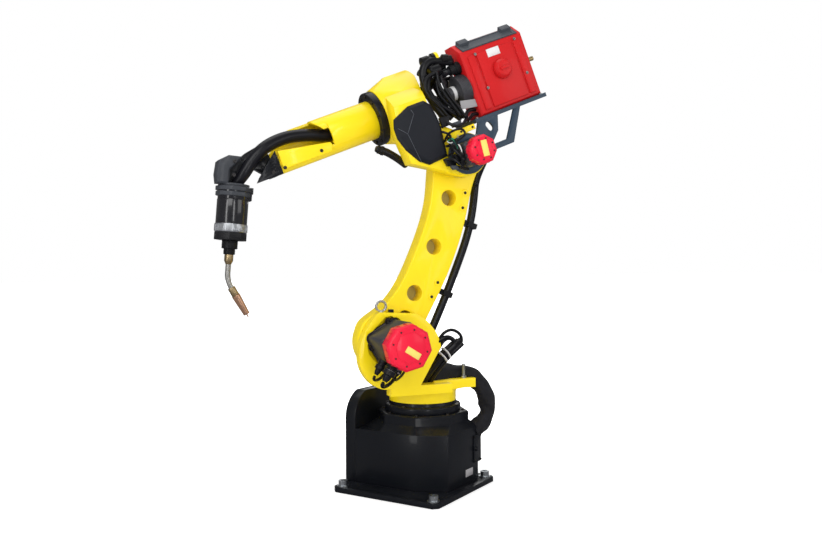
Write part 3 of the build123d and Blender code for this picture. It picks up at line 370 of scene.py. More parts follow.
def tube(name, spots, radius, finish, sides, swell=None, ends=True):
    """A round skin along points, with a UV map: across round the tube and up in metres along it.

    swell(along, turn) gives the radius at a share of the length and an angle; otherwise it is constant.
    """
    count = len(spots)
    ways = [(spots[min(k + 1, count - 1)] - spots[max(k - 1, 0)]).normalized() for k in range(count)]
    side = basis(ways[0])[0]
    lengths = [0.0]
    for k in range(1, count):
        lengths.append(lengths[-1] + (spots[k] - spots[k - 1]).length)
    mesh = bpy.data.meshes.new(name)
    body = bmesh.new()
    chart = body.loops.layers.uv.new("along")
    rings = []
    for k, (spot, way) in enumerate(zip(spots, ways)):
        side = (side - way * side.dot(way)).normalized()
        other = way.cross(side)
        ring = []
        for j in range(sides):
            turn = tau * j / sides
            size = swell(lengths[k] / lengths[-1], turn) if swell else radius
            ring.append(body.verts.new(spot + (side * cos(turn) + other * sin(turn)) * size))
        rings.append(ring)
    for k in range(count - 1):
        for j in range(sides):
            n = (j + 1) % sides
            face = body.faces.new((rings[k][j], rings[k][n], rings[k + 1][n], rings[k + 1][j]))
            face.smooth = True
            for loop, (u, v) in zip(face.loops, ((j, k), (j + 1, k), (j + 1, k + 1), (j, k + 1))):
                loop[chart].uv = (u / sides, lengths[v])
    if ends:
        body.faces.new(list(reversed(rings[0])))
        body.faces.new(rings[-1])
    bmesh.ops.recalc_face_normals(body, faces=body.faces)
    body.to_mesh(mesh)
    body.free()
    mesh.materials.append(finish)
    return link_object(name, mesh)


# Shader node groups that several finishes share


def new_group(name, inputs, outputs):
    """A shader node group with named inputs and outputs, and its group input and output nodes."""
    group = bpy.data.node_groups.new(name, "ShaderNodeTree")
    for label, kind, value in inputs:
        socket = group.interface.new_socket(name=label, in_out="INPUT", socket_type=kind)
        socket.default_value = value
    for label, kind in outputs:
        group.interface.new_socket(name=label, in_out="OUTPUT", socket_type=kind)
    return group, group.nodes.new("NodeGroupInput"), group.nodes.new("NodeGroupOutput")


def add_node(tree, kind, links=None, **facts):
    """A node with its settings and inputs: an input that is a socket is linked, any other is a value."""
    node = tree.nodes.new(kind)
    for key, value in facts.items():
        setattr(node, key, value)
    for label, value in (links or {}).items():
        socket = node.inputs[label]
        if isinstance(value, bpy.types.NodeSocket):
            tree.links.new(value, socket)
        else:
            socket.default_value = value
    return node


def math_node(tree, operation, first, second=0.0, clamp=False):
    node = add_node(tree, "ShaderNodeMath", {0: first, 1: second}, operation=operation, use_clamp=clamp)
    return node.outputs[0]


def times(tree, first, second, clamp=False):
    return math_node(tree, "MULTIPLY", first, second, clamp)


def plus(tree, first, second, clamp=False):
    return math_node(tree, "ADD", first, second, clamp)


def mix_colour(tree, share, first, second):
    node = add_node(tree, "ShaderNodeMix", data_type="RGBA")
    for index, value in ((0, share), (6, first), (7, second)):
        if isinstance(value, bpy.types.NodeSocket):
            tree.links.new(value, node.inputs[index])
        else:
            node.inputs[index].default_value = value
    return node.outputs[2]


def ramp(tree, value, low, high):
    """Value stretched so that low gives 0 and high gives 1."""
    node = add_node(tree, "ShaderNodeMapRange", {"Value": value, "From Min": low, "From Max": high},
                    clamp=True)
    return node.outputs["Result"]


def cloudy(tree, places, scale, detail, roughness=0.5):
    """Value of a noise texture at places."""
    node = add_node(tree, "ShaderNodeTexNoise", {"Vector": places, "Scale": scale, "Detail": detail,
                                                 "Roughness": roughness})
    return node.outputs[0]


def stretched(tree, places, scale, turned=(0.0, 0.0, 0.0)):
    """Places scaled, and turned in radians, for a pattern that runs along one way."""
    return add_node(tree, "ShaderNodeMapping", {"Vector": places, "Rotation": turned,
                                                "Scale": scale}).outputs[0]


def make_wear_group():
    """Edges that are rubbed, dust that lies on top and broad colour drift, all in object space."""
    group, given, out = new_group(
        "paint_wear",
        [("Edge", "NodeSocketFloat", 0.3), ("Dust", "NodeSocketFloat", 0.3),
         ("Grain", "NodeSocketFloat", 400.0)],
        [("Edge Mask", "NodeSocketFloat"), ("Dust Mask", "NodeSocketFloat"), ("Drift", "NodeSocketFloat"),
         ("Peel", "NodeSocketFloat"), ("Scratch", "NodeSocketFloat"), ("Round", "NodeSocketVector")])
    spot = add_node(group, "ShaderNodeTexCoord")
    places = spot.outputs["Object"]
    rounded_edge = add_node(group, "ShaderNodeBevel", {"Radius": 0.0016}, samples=4).outputs[0]
    flat = add_node(group, "ShaderNodeNewGeometry").outputs["Normal"]
    same = add_node(group, "ShaderNodeVectorMath", {0: rounded_edge, 1: flat}, operation="DOT_PRODUCT")
    bend = math_node(group, "SUBTRACT", 1.0, same.outputs["Value"])
    chips = cloudy(group, places, 90.0, 4.0, 0.65)
    rubbed = times(group, ramp(group, bend, 0.03, 0.22), ramp(group, chips, 0.5, 0.68))
    group.links.new(times(group, rubbed, given.outputs["Edge"], True), out.inputs["Edge Mask"])
    up = add_node(group, "ShaderNodeSeparateXYZ", {0: spot.outputs["Normal"]}).outputs["Z"]
    patches = cloudy(group, places, 7.0, 6.0, 0.6)
    specks = cloudy(group, places, 160.0, 3.0)
    dust = times(group, ramp(group, up, 0.25, 0.95), ramp(group, patches, 0.35, 0.75))
    dust = times(group, dust, ramp(group, specks, 0.3, 0.6))
    group.links.new(times(group, dust, given.outputs["Dust"], True), out.inputs["Dust Mask"])
    group.links.new(ramp(group, cloudy(group, places, 3.2, 5.0, 0.55), 0.25, 0.75), out.inputs["Drift"])
    group.links.new(cloudy(group, places, given.outputs["Grain"], 2.0), out.inputs["Peel"])
    scratches = cloudy(group, stretched(group, places, (14.0, 260.0, 240.0), (0.3, 0.7, 0.2)), 1.0, 2.0)
    group.links.new(ramp(group, scratches, 0.70, 0.78), out.inputs["Scratch"])
    group.links.new(rounded_edge, out.inputs["Round"])
    return group


def make_weave_group():
    """Plain weave in object space, with fuzz."""
    group, given, out = new_group(
        "canvas_weave", [("Threads", "NodeSocketFloat", 900.0)],
        [("Height", "NodeSocketFloat"), ("Fuzz", "NodeSocketFloat")])
    spot = add_node(group, "ShaderNodeTexCoord")
    parts = add_node(group, "ShaderNodeSeparateXYZ", {0: spot.outputs["Object"]})
    across = plus(group, parts.outputs["X"], parts.outputs["Y"])
    warp = math_node(group, "SINE", times(group, across, given.outputs["Threads"]))
    weft = math_node(group, "SINE", times(group, parts.outputs["Z"], given.outputs["Threads"]))
    group.links.new(ramp(group, times(group, warp, weft), -1.0, 1.0), out.inputs["Height"])
    group.links.new(cloudy(group, spot.outputs["Object"], 60.0, 5.0), out.inputs["Fuzz"])
    return group


def make_machined_group():
    """Fine turning or brushing lines with light stains."""
    group, given, out = new_group(
        "machined_grain", [("Lines", "NodeSocketFloat", 1200.0)],
        [("Height", "NodeSocketFloat"), ("Stain", "NodeSocketFloat")])
    places = add_node(group, "ShaderNodeTexCoord").outputs["Object"]
    lines = cloudy(group, stretched(group, places, (0.04, 0.04, 1.0)), given.outputs["Lines"], 2.0)
    group.links.new(lines, out.inputs["Height"])
    group.links.new(ramp(group, cloudy(group, places, 30.0, 5.0), 0.35, 0.7), out.inputs["Stain"])
    return group


# Finishes


def start_material(name):
    material = bpy.data.materials.new(name)
    material.use_nodes = True
    tree = material.node_tree
    tree.nodes.clear()
    shader = tree.nodes.new("ShaderNodeBsdfPrincipled")
    out = tree.nodes.new("ShaderNodeOutputMaterial")
    tree.links.new(shader.outputs[0], out.inputs[0])
    return material, tree, shader


def rgba(colour, factor=1.0):
    return (*[min(1.0, part * factor) for part in colour], 1.0)


def set_inputs(node, **values):
    """Default values of a node's inputs, named with spaces in place of underscores."""
    for label, value in values.items():
        node.inputs[label.replace("_", " ")].default_value = value


def shared(tree, group_name, **values):
    """A node of a shared group with its inputs set."""
    node = add_node(tree, "ShaderNodeGroup", node_tree=bpy.data.node_groups[group_name])
    set_inputs(node, **values)
    return node


def emboss(tree, shader, height, strength, distance, **links):
    """Bump of the surface by a height in metres at full strength."""
    bump = add_node(tree, "ShaderNodeBump", {"Height": height, "Strength": strength, "Distance": distance,
                                             **links})
    tree.links.new(bump.outputs[0], shader.inputs["Normal"])


def painted(name, colour, rough, coat, drift, edge=1.0, dust=1.0, under=(0.30, 0.29, 0.27),
            dust_colour=(0.42, 0.40, 0.37), bump=0.05, grain=260.0, specular=0.5):
    """Enamel or moulded gloss with drift, rubbed edges, dust, fine scratches and orange peel."""
    wear = settings().wear
    material, tree, shader = start_material(name)
    mask = shared(tree, "paint_wear", Edge=wear.edge * edge, Dust=wear.dust * dust, Grain=grain)
    tone = mix_colour(tree, mask.outputs["Drift"], rgba(colour, 1.0 - drift), rgba(colour, 1.0 + drift / 2))
    tone = mix_colour(tree, mask.outputs["Edge Mask"], tone, rgba(under))
    tone = mix_colour(tree, mask.outputs["Dust Mask"], tone, rgba(dust_colour))
    tree.links.new(tone, shader.inputs["Base Color"])
    sheen = plus(tree, rough, times(tree, mask.outputs["Drift"], 0.10))
    sheen = plus(tree, sheen, times(tree, mask.outputs["Dust Mask"], 0.6))
    sheen = plus(tree, sheen, times(tree, mask.outputs["Scratch"], 0.12), True)
    tree.links.new(sheen, shader.inputs["Roughness"])
    emboss(tree, shader, mask.outputs["Peel"], bump, 0.001, Normal=mask.outputs["Round"])
    set_inputs(shader, Specular_IOR_Level=specular, Coat_Weight=coat, Coat_Roughness=0.08)
    return material


def moulded(name, colour, rough, bump=0.12, dust=0.6):
    """Matt plastic or rubber: fine spark grain, slight bloom and dust."""
    worn = [min(1, 2.2 * part + 0.02) for part in colour]
    return painted(name, colour, rough=rough, coat=0.0, edge=0.25, dust=dust, specular=0.28, under=worn,
                   drift=0.18, bump=bump, grain=700.0)


def metal(name, colour, rough, lines=1200.0, stain=(0.25, 0.2, 0.15), stain_share=0.25):
    """Bare metal with machining lines and light stains."""
    material, tree, shader = start_material(name)
    grain = shared(tree, "machined_grain", Lines=lines)
    share = times(tree, grain.outputs["Stain"], stain_share)
    tree.links.new(mix_colour(tree, share, rgba(colour), rgba(stain)), shader.inputs["Base Color"])
    sheen = plus(tree, rough, times(tree, grain.outputs["Stain"], 0.22))
    tree.links.new(sheen, shader.inputs["Roughness"])
    emboss(tree, shader, grain.outputs["Height"], 0.06, 0.0005)
    set_inputs(shader, Metallic=1.0)
    return material


def woven(name, colour):
    """Coated canvas: weave bump, fuzz tone, a little dust and sheen."""
    material, tree, shader = start_material(name)
    cloth = shared(tree, "canvas_weave")
    mask = shared(tree, "paint_wear", Edge=0.0, Dust=0.05)
    tone = mix_colour(tree, ramp(tree, cloth.outputs["Fuzz"], 0.3, 0.7), rgba(colour, 0.7), rgba(colour, 1.5))
    tone = mix_colour(tree, mask.outputs["Dust Mask"], tone, rgba((0.30, 0.29, 0.28)))
    tree.links.new(tone, shader.inputs["Base Color"])
    tree.links.new(plus(tree, 0.55, times(tree, cloth.outputs["Fuzz"], 0.3)), shader.inputs["Roughness"])
    emboss(tree, shader, cloth.outputs["Height"], 0.25, 0.0006)
    set_inputs(shader, Sheen_Weight=0.06, Specular_IOR_Level=0.25)
    return material


def braided(name, colour, rough, pitch, bump):
    """Hose or cable jacket: fine helical ribs from the UV map, a bloom and a little dust."""
    material, tree, shader = start_material(name)
    mask = shared(tree, "paint_wear", Edge=0.0, Dust=0.03)
    chart = add_node(tree, "ShaderNodeUVMap", uv_map="along")
    parts = add_node(tree, "ShaderNodeSeparateXYZ", {0: chart.outputs[0]})
    turns = plus(tree, times(tree, parts.outputs["X"], tau), times(tree, parts.outputs["Y"], pitch))
    ribs = math_node(tree, "SINE", turns)
    tone = mix_colour(tree, mask.outputs["Drift"], rgba(colour, 0.8), rgba(colour, 1.3))
    tone = mix_colour(tree, mask.outputs["Dust Mask"], tone, rgba((0.25, 0.25, 0.24)))
    tree.links.new(tone, shader.inputs["Base Color"])
    tree.links.new(plus(tree, rough, times(tree, mask.outputs["Drift"], 0.12)), shader.inputs["Roughness"])
    emboss(tree, shader, ribs, bump, 0.0004)
    set_inputs(shader, Specular_IOR_Level=0.38)
    return material


def finish_named(name):
    material = bpy.data.materials.get(name)
    if material is None:
        raise RuntimeError(f"finish {name} is made by the finishes operator, which runs first")
    return material


# Geometry node trees for what repeats


def start_tree(name, sizes):
    tree = bpy.data.node_groups.new(name, "GeometryNodeTree")
    tree.interface.new_socket(name="Places", in_out="INPUT", socket_type="NodeSocketGeometry")
    for label, value in sizes:
        socket = tree.interface.new_socket(name=label, in_out="INPUT", socket_type="NodeSocketFloat")
        socket.default_value = value
    tree.interface.new_socket(name="Sides", in_out="INPUT", socket_type="NodeSocketInt")
    tree.interface.new_socket(name="Finish", in_out="INPUT", socket_type="NodeSocketMaterial")
    tree.interface.new_socket(name="Pieces", in_out="OUTPUT", socket_type="NodeSocketGeometry")
    return tree, tree.nodes.new("NodeGroupInput"), tree.nodes.new("NodeGroupOutput")


def place_instances(tree, given, out, shape):
    """Puts the shape, turned, scaled and with its finish, on every place as real meshes."""
    facing = add_node(tree, "GeometryNodeInputNamedAttribute", {"Name": "facing"}, data_type="FLOAT_VECTOR")
    size = add_node(tree, "GeometryNodeInputNamedAttribute", {"Name": "size"}, data_type="FLOAT")
    turn = add_node(tree, "FunctionNodeAlignRotationToVector", {"Vector": facing.outputs[0]}, axis="Z")
    spread = add_node(tree, "GeometryNodeInstanceOnPoints",
                      {"Points": given.outputs["Places"], "Instance": shape, "Rotation": turn.outputs[0],
                       "Scale": size.outputs[0]})
    real = add_node(tree, "GeometryNodeRealizeInstances", {"Geometry": spread.outputs[0]})
    coat = add_node(tree, "GeometryNodeSetMaterial",
                    {"Geometry": real.outputs[0], "Material": given.outputs["Finish"]})
    tree.links.new(coat.outputs[0], out.inputs["Pieces"])


def rod(tree, sides, radius, depth):
    """A closed cylinder about Z, its middle at the origin."""
    return add_node(tree, "GeometryNodeMeshCylinder", {"Vertices": sides, "Radius": radius, "Depth": depth},
                    fill_type="NGON")


def pull(tree, mesh, faces, distance):
    """Extrudes the chosen faces together."""
    return add_node(tree, "GeometryNodeExtrudeMesh", {"Mesh": mesh, "Selection": faces,
                                                      "Offset Scale": distance, "Individual": False},
                    mode="FACES")


def make_screw_tree():
    """Socket head on a flat collar: the socket is a real recess."""
    tree, given, out = start_tree("socket_screws",
                                  [("Head Radius", 0.0045), ("Head Height", 0.004), ("Collar", 1.35)])
    sides, radius, height = (given.outputs[label] for label in ("Sides", "Head Radius", "Head Height"))
    head = rod(tree, sides, radius, height)
    rim = pull(tree, head.outputs["Mesh"], head.outputs["Top"], 0.0)
    narrow = add_node(tree, "GeometryNodeScaleElements",
                      {"Geometry": rim.outputs["Mesh"], "Selection": rim.outputs["Top"], "Scale": 0.56})
    sunk = pull(tree, narrow.outputs[0], rim.outputs["Top"], times(tree, height, -0.55))
    lift = add_node(tree, "ShaderNodeCombineXYZ", {"Z": times(tree, height, 0.5)})
    raised = add_node(tree, "GeometryNodeTransform",
                      {"Geometry": sunk.outputs["Mesh"], "Translation": lift.outputs[0]})
    collar = rod(tree, sides, times(tree, radius, given.outputs["Collar"]), times(tree, height, 0.3))
    both = add_node(tree, "GeometryNodeJoinGeometry")
    tree.links.new(raised.outputs[0], both.inputs[0])
    tree.links.new(collar.outputs["Mesh"], both.inputs[0])
    place_instances(tree, given, out, both.outputs[0])
    return tree


def make_ring_tree():
    """Round beads, such as the ribs of a gland or the turns of a grip."""
    tree, given, out = start_tree("ring_beads", [("Ring Radius", 0.01), ("Bead Radius", 0.001)])
    bead_sides = 8
    circle, bead = [add_node(tree, "GeometryNodeCurvePrimitiveCircle",
                             {"Resolution": sides, "Radius": radius},
                             mode="RADIUS").outputs["Curve"]
                    for sides, radius in ((given.outputs["Sides"], given.outputs["Ring Radius"]),
                                          (bead_sides, given.outputs["Bead Radius"]))]
    ring = add_node(tree, "GeometryNodeCurveToMesh", {"Curve": circle, "Profile Curve": bead})
    place_instances(tree, given, out, ring.outputs[0])
    return tree


def make_bar_tree():
    """Small bars, such as flutes and knurls, long along their facing."""
    tree, given, out = start_tree("small_bars", [("Bar Radius", 0.0005), ("Bar Length", 0.004)])
    bar = rod(tree, given.outputs["Sides"], given.outputs["Bar Radius"], given.outputs["Bar Length"])
    place_instances(tree, given, out, bar.outputs["Mesh"])
    return tree


def repeated(name, tree_name, places, finish, body, slot_name, sides, **sizes):
    """Runs a tree on places of (point, facing, size) and leaves one plain mesh on the body."""
    mesh = bpy.data.meshes.new(name)
    mesh.from_pydata([tuple(place[0]) for place in places], [], [])
    mesh.attributes.new("facing", "FLOAT_VECTOR", "POINT")
    mesh.attributes.new("size", "FLOAT", "POINT")
    facing, size = mesh.attributes["facing"], mesh.attributes["size"]
    for index, (_, way, share) in enumerate(places):
        facing.data[index].vector = Vector(way).normalized()
        size.data[index].value = share
    piece = link_object(name, mesh)
    tree = bpy.data.node_groups[tree_name]
    layout = piece.modifiers.new("layout", "NODES")
    layout.node_group = tree
    keys = {item.name: item.identifier for item in tree.interface.items_tree if item.in_out == "INPUT"}
    layout[keys["Sides"]] = sides
    layout[keys["Finish"]] = finish
    for label, value in sizes.items():
        layout[keys[label.replace("_", " ").title()]] = value
    bake_modifiers(piece)
    if not len(piece.data.polygons):
        raise RuntimeError(f"{name}: its tree made no faces")
    shade_by_angle(piece.data, 35)
    for spare in ("facing", "size"):
        if spare in piece.data.attributes:
            piece.data.attributes.remove(piece.data.attributes[spare])
    return settle(piece, body, slot_name)


def screws(name, body, places, finish, radius=None, height=None):
    """Socket screws at places of (point, facing, size); radius and height in metres."""
    sizes = settings().fasteners
    return repeated(name, "socket_screws", places, finish_named(finish), body, "bare_steel", sizes.sides,
                    head_radius=radius or sizes.screw_head, head_height=height or sizes.screw_height)


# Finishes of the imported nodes: node, finish, bevel in millimetres (0 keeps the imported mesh)
DRESSING = [
    ("base_plate", "slate_enamel", 1.5), ("base_housing", "slate_enamel", 2.0),
    ("base_collar", "slate_enamel", 1.5), ("base_side_duct", "slate_enamel", 1.5),
    ("base_inspection_cover", "slate_enamel", 0.8),
    ("connector_panel", "slate_enamel", 0.8), ("air_fitting", "fitting_blue", 1.0),
    ("turret_casting", "yellow_enamel", 2.5), ("shoulder_reducer", "bare_steel", 0.0),
    ("shoulder_motor_body", "motor_black", 1.5),
    ("lower_arm", "yellow_enamel", 3.0), ("arm_hub_covers", "yellow_enamel", 1.2),
    ("conduit_clips", "black_mould", 0.0),
    ("elbow_casting", "yellow_enamel", 2.5), ("elbow_reducer", "bare_steel", 0.0),
    ("elbow_motor_body", "motor_black", 1.5), ("elbow_motor_cap", "cap_red", 2.0),
    ("forearm_collar", "slate_enamel", 2.0), ("feeder_tray", "tray_blue", 0.0),
    ("tray_bracket", "tray_blue", 0.8), ("feeder_housing", "feeder_red", 2.0),
    ("feeder_lid", "grey_mould", 1.0), ("feeder_knob", "feeder_red", 1.5),
    ("feeder_motor", "motor_black", 1.5), ("feeder_outlet", "black_mould", 1.0), ("wire_inlet", "brass", 0.5),
    ("forearm_tube", "yellow_enamel", 1.2), ("forearm_side_plate", "yellow_enamel", 0.8),
    ("wrist_link", "slate_enamel", 1.2), ("wrist_housing", "wrist_slate", 1.5),
    ("torch_clamp", "torch_black", 1.2), ("torch_body", "torch_black", 1.0), ("torch_ring", "aluminium", 0.6),
    ("torch_lower_clamp", "black_mould", 1.2), ("torch_connector", "black_mould", 1.0),
    ("neck_sleeve", "pale_brass", 0.8), ("torch_neck", "neck_steel", 0.0),
    ("nozzle_holder", "pale_brass", 0.8), ("nozzle", "copper", 0.4), ("contact_tip", "copper", 0.0),
]
SLOT_OF = {part["node"]: part["material_slot"] for part in frame["record"]["subparts"]}


def dress_node(node, finish, bevel):
    """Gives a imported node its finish: on the node itself, or on a clean copy with rounded edges."""
    source = NODES[node]
    if not bevel:
        source.data.materials.clear()
        source.data.materials.append(finish)
        for held in source.material_slots:
            held.material = finish
        return source
    points = [vertex.co.copy() for vertex in source.data.vertices]
    faces = [tuple(polygon.vertices) for polygon in source.data.polygons]
    mesh = bpy.data.meshes.new(node + "_dressed")
    mesh.from_pydata(points, [], faces)
    body = bmesh.new()
    body.from_mesh(mesh)
    bmesh.ops.remove_doubles(body, verts=body.verts, dist=2e-6)
    bmesh.ops.dissolve_limit(body, angle_limit=radians(0.6), verts=body.verts, edges=body.edges)
    body.to_mesh(mesh)
    body.free()
    mesh.materials.append(finish)
    piece = link_object(node + "_dressed", mesh)
    soften(piece, bevel * 0.001, 2, 32)
    return settle(piece, BODY_OF[node], SLOT_OF[node], node)


class ARM_OT_stage(bpy.types.Operator):
    """Camera at the photographer's place, pale floor, white backdrop and soft lamps."""

    bl_idname = "robot_arm.stage"
    bl_label = "Stage"

    def execute(self, context):
        stage = settings().stage
        place, aim = Vector(stage.camera_place), Vector(stage.camera_aim)
        ahead = (aim - place).normalized()
        right = ahead.cross(UP).normalized()
        above = right.cross(ahead)
        roll = radians(stage.camera_roll)
        across = right * cos(roll) + above * sin(roll)
        above = above * cos(roll) - right * sin(roll)
        lens = bpy.data.cameras.new("camera")
        lens.sensor_width = 36.0
        lens.lens = 36.0
        lens.clip_start, lens.clip_end = 0.05, 200.0
        camera = link_object("camera", lens)
        camera.matrix_world = Matrix((
            (across.x, above.x, -ahead.x, place.x), (across.y, above.y, -ahead.y, place.y),
            (across.z, above.z, -ahead.z, place.z), (0, 0, 0, 1)))
        context.scene.camera = camera
        half = stage.floor_half
        floor = mesh_piece("floor", [(-half, -half, -0.0005), (half, -half, -0.0005), (half, half, -0.0005),
                                     (-half, half, -0.0005)], [(0, 1, 2, 3)], finish_floor())
        for name, spot, wide, high, power, aim_up in (
                ("key_lamp", (2.2, 3.4, 3.2), 2.4, 2.4, 44.0, 0.7),
                ("fill_lamp", (-2.6, 3.0, 1.8), 2.2, 2.2, 20.0, 0.7),
                ("top_lamp", (0.2, -0.6, 4.0), 3.0, 3.0, 34.0, 0.6),
                ("rim_lamp", (-1.6, -3.0, 2.2), 1.8, 1.8, 20.0, 0.8),
                ("left_strip", (2.55, 1.75, 0.9), 0.42, 2.6, 15.0, 0.7),
                ("right_strip", (0.35, 2.95, 0.9), 0.30, 2.6, 12.0, 0.7)):
            lamp = bpy.data.lights.new(name, "AREA")
            lamp.shape, lamp.size, lamp.size_y, lamp.energy = "RECTANGLE", wide, high, power
            holder = link_object(name, lamp)
            holder.location = spot
            holder.rotation_mode = "QUATERNION"
            goal = Vector((0.1, 0, aim_up))
            holder.rotation_quaternion = (goal - Vector(spot)).to_track_quat("-Z", "Y")
        world = bpy.data.worlds.new("backdrop")
        context.scene.world = world
        world.use_nodes = True
        tree = world.node_tree
        tree.nodes.clear()
        rays = tree.nodes.new("ShaderNodeLightPath")
        seen = math_node(tree, "MAXIMUM", rays.outputs["Is Camera Ray"], rays.outputs["Is Transmission Ray"])
        shiny = times(tree, rays.outputs["Is Glossy Ray"], 0.14)
        soft = times(tree, rays.outputs["Is Diffuse Ray"], 0.74)
        strength = math_node(tree, "MAXIMUM", seen, math_node(tree, "MAXIMUM", shiny, soft))
        glow = add_node(tree, "ShaderNodeBackground", {"Color": (1, 1, 1, 1), "Strength": strength})
        out = tree.nodes.new("ShaderNodeOutputWorld")
        tree.links.new(glow.outputs[0], out.inputs[0])
        context.scene.view_settings.view_transform = "Standard"
        return {"FINISHED"}


def finish_floor():
    """Pale matt floor that reads white where no shadow falls."""
    material, tree, shader = start_material("pale_floor")
    grain = add_node(tree, "ShaderNodeTexNoise", {"Scale": 3.0, "Detail": 4.0})
    rays = tree.nodes.new("ShaderNodeLightPath")
    pale = mix_colour(tree, grain.outputs[0], (0.86, 0.86, 0.86, 1), (0.90, 0.90, 0.90, 1))
    mirrored = (0.16, 0.16, 0.17, 1)
    tree.links.new(mix_colour(tree, rays.outputs["Is Glossy Ray"], pale, mirrored),
                   shader.inputs["Base Color"])
    set_inputs(shader, Roughness=0.9, Specular_IOR_Level=0.1, Emission_Color=(1, 1, 1, 1))
    spot = add_node(tree, "ShaderNodeTexCoord")
    far = add_node(tree, "ShaderNodeVectorMath", {0: spot.outputs["Object"]}, operation="LENGTH")
    glow = add_node(tree, "ShaderNodeMapRange", {"Value": far.outputs["Value"], "From Min": 0.25,
                                                 "From Max": 1.0, "To Min": 0.36, "To Max": 1.1}, clamp=True)
    tree.links.new(times(tree, rays.outputs["Is Camera Ray"], glow.outputs["Result"]),
                   shader.inputs["Emission Strength"])
    return material


class ARM_OT_finishes(bpy.types.Operator):
    """Builds the shared shader groups, the repeat trees and every finish."""

    bl_idname = "robot_arm.finishes"
    bl_label = "Finishes"

    def execute(self, context):
        paint = settings().paint
        make_wear_group()
        make_weave_group()
        make_machined_group()
        make_screw_tree()
        make_ring_tree()
        make_bar_tree()
        painted("yellow_enamel", paint.yellow, rough=0.28, coat=0.25, under=(0.55, 0.42, 0.10), drift=0.05,
                dust=0.15, bump=0.03, specular=0.3)
        painted("yellow_cast_inside", (0.62, 0.55, 0.20), rough=0.75, coat=0.0, drift=0.45, dust=0.2,
                bump=0.9, grain=240.0)
        painted("slate_enamel", paint.slate, rough=0.30, coat=0.16, under=(0.10, 0.10, 0.11), drift=0.15,
                dust=0.30, dust_colour=(0.10, 0.11, 0.13), specular=0.25)
        painted("wrist_slate", (0.040, 0.045, 0.056), rough=0.46, coat=0.1, under=(0.12, 0.12, 0.13),
                drift=0.35, dust=0.3, dust_colour=(0.20, 0.21, 0.24), bump=0.35, grain=520.0)
        painted("cap_red", paint.cap_red, rough=0.32, coat=0.2, under=(0.5, 0.03, 0.06), drift=0.10, dust=0.3,
                specular=0.3)
        painted("feeder_red", paint.feeder_red, rough=0.38, coat=0.10, under=(0.5, 0.07, 0.05), drift=0.08,
                dust=0.1, specular=0.2)
        painted("tray_blue", paint.tray_blue, rough=0.42, coat=0.2, under=(0.3, 0.32, 0.34), drift=0.16,
                dust=0.5)
        painted("motor_black", (0.020, 0.018, 0.013), rough=0.30, coat=0.3, under=(0.2, 0.18, 0.12),
                drift=0.3, dust=0.4)
        painted("fitting_blue", (0.26, 0.30, 0.50), rough=0.4, coat=0.3, drift=0.2)
        painted("torch_black", (0.010, 0.010, 0.013), rough=0.16, coat=0.8, under=(0.1, 0.1, 0.1), drift=0.2,
                dust=0.3)
        moulded("black_mould", (0.009, 0.009, 0.011), rough=0.30)
        moulded("cover_black", (0.011, 0.013, 0.019), rough=0.42, dust=0.2)
        moulded("grey_mould", (0.060, 0.068, 0.082), rough=0.42)
        # Lighter grey of the thin tubes along the side cover's creases: painted highlights on the fold edges.
        moulded("highlight_grey_mould", (0.10, 0.11, 0.13), rough=0.42)
        moulded("bare_label_white", (0.80, 0.80, 0.80), rough=0.35, dust=0.2, bump=0.03)
        moulded("bare_label_yellow", (0.90, 0.72, 0.16), rough=0.35, dust=0.2, bump=0.03)
        moulded("bare_label_grey", (0.34, 0.33, 0.34), rough=0.4, dust=0.4, bump=0.03)
        moulded("wire_green", (0.02, 0.22, 0.12), rough=0.45)
        moulded("wire_white", (0.72, 0.72, 0.70), rough=0.45)
        woven("black_canvas_cloth", (0.009, 0.009, 0.012))
        braided("hose_jacket", (0.007, 0.007, 0.010), rough=0.24, pitch=1400.0, bump=0.10)
        braided("cable_jacket", (0.006, 0.006, 0.008), rough=0.26, pitch=2600.0, bump=0.06)
        metal("bare_steel", (0.56, 0.56, 0.55), rough=0.32)
        metal("screw_steel", (0.48, 0.48, 0.48), rough=0.34, lines=3000.0)
        metal("dark_screw", (0.07, 0.07, 0.075), rough=0.42, lines=3000.0)
        metal("zinc_bolt", (0.62, 0.65, 0.68), rough=0.28, lines=3000.0, stain=(0.4, 0.42, 0.40))
        metal("aluminium", (0.58, 0.60, 0.63), rough=0.30, lines=2200.0, stain_share=0.12)
        metal("brass", (0.62, 0.45, 0.20), rough=0.32)
        metal("pale_brass", (0.62, 0.47, 0.26), rough=0.34, stain=(0.35, 0.24, 0.12))
        metal("neck_steel", (0.36, 0.35, 0.33), rough=0.24, stain=(0.42, 0.36, 0.26), stain_share=0.4)
        metal("copper", (0.15, 0.066, 0.026), rough=0.42, stain=(0.10, 0.06, 0.04), stain_share=0.5)
        return {"FINISHED"}


class ARM_OT_castings(bpy.types.Operator):
    """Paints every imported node; castings and housings get rounded edges."""

    bl_idname = "robot_arm.castings"
    bl_label = "Castings and housings"

    def execute(self, context):
        for node, finish, bevel in DRESSING:
            dress_node(node, finish_named(finish), bevel)
        return {"FINISHED"}


def plug(name, start, way, finish, long, radius):
    """A round cable plug: shell with stepped nut and tapered boot, as one turned piece."""
    profile = [(0, radius * 0.7), (0, radius), (long * 0.18, radius), (long * 0.20, radius * 0.86),
               (long * 0.34, radius * 0.86), (long * 0.36, radius * 1.08), (long * 0.62, radius * 1.08),
               (long * 0.64, radius * 0.72), (long * 0.80, radius * 0.66), (long, radius * 0.42)]
    return lathe(name, profile, start, way, finish, 28)


def strand(name, place, points, radius, finish="cable_jacket", sides=12):
    """A cable or hose with a radius in metres, along given points that go through place."""
    return tube(name, route([place(*point) for point in points]), radius, finish_named(finish), sides)


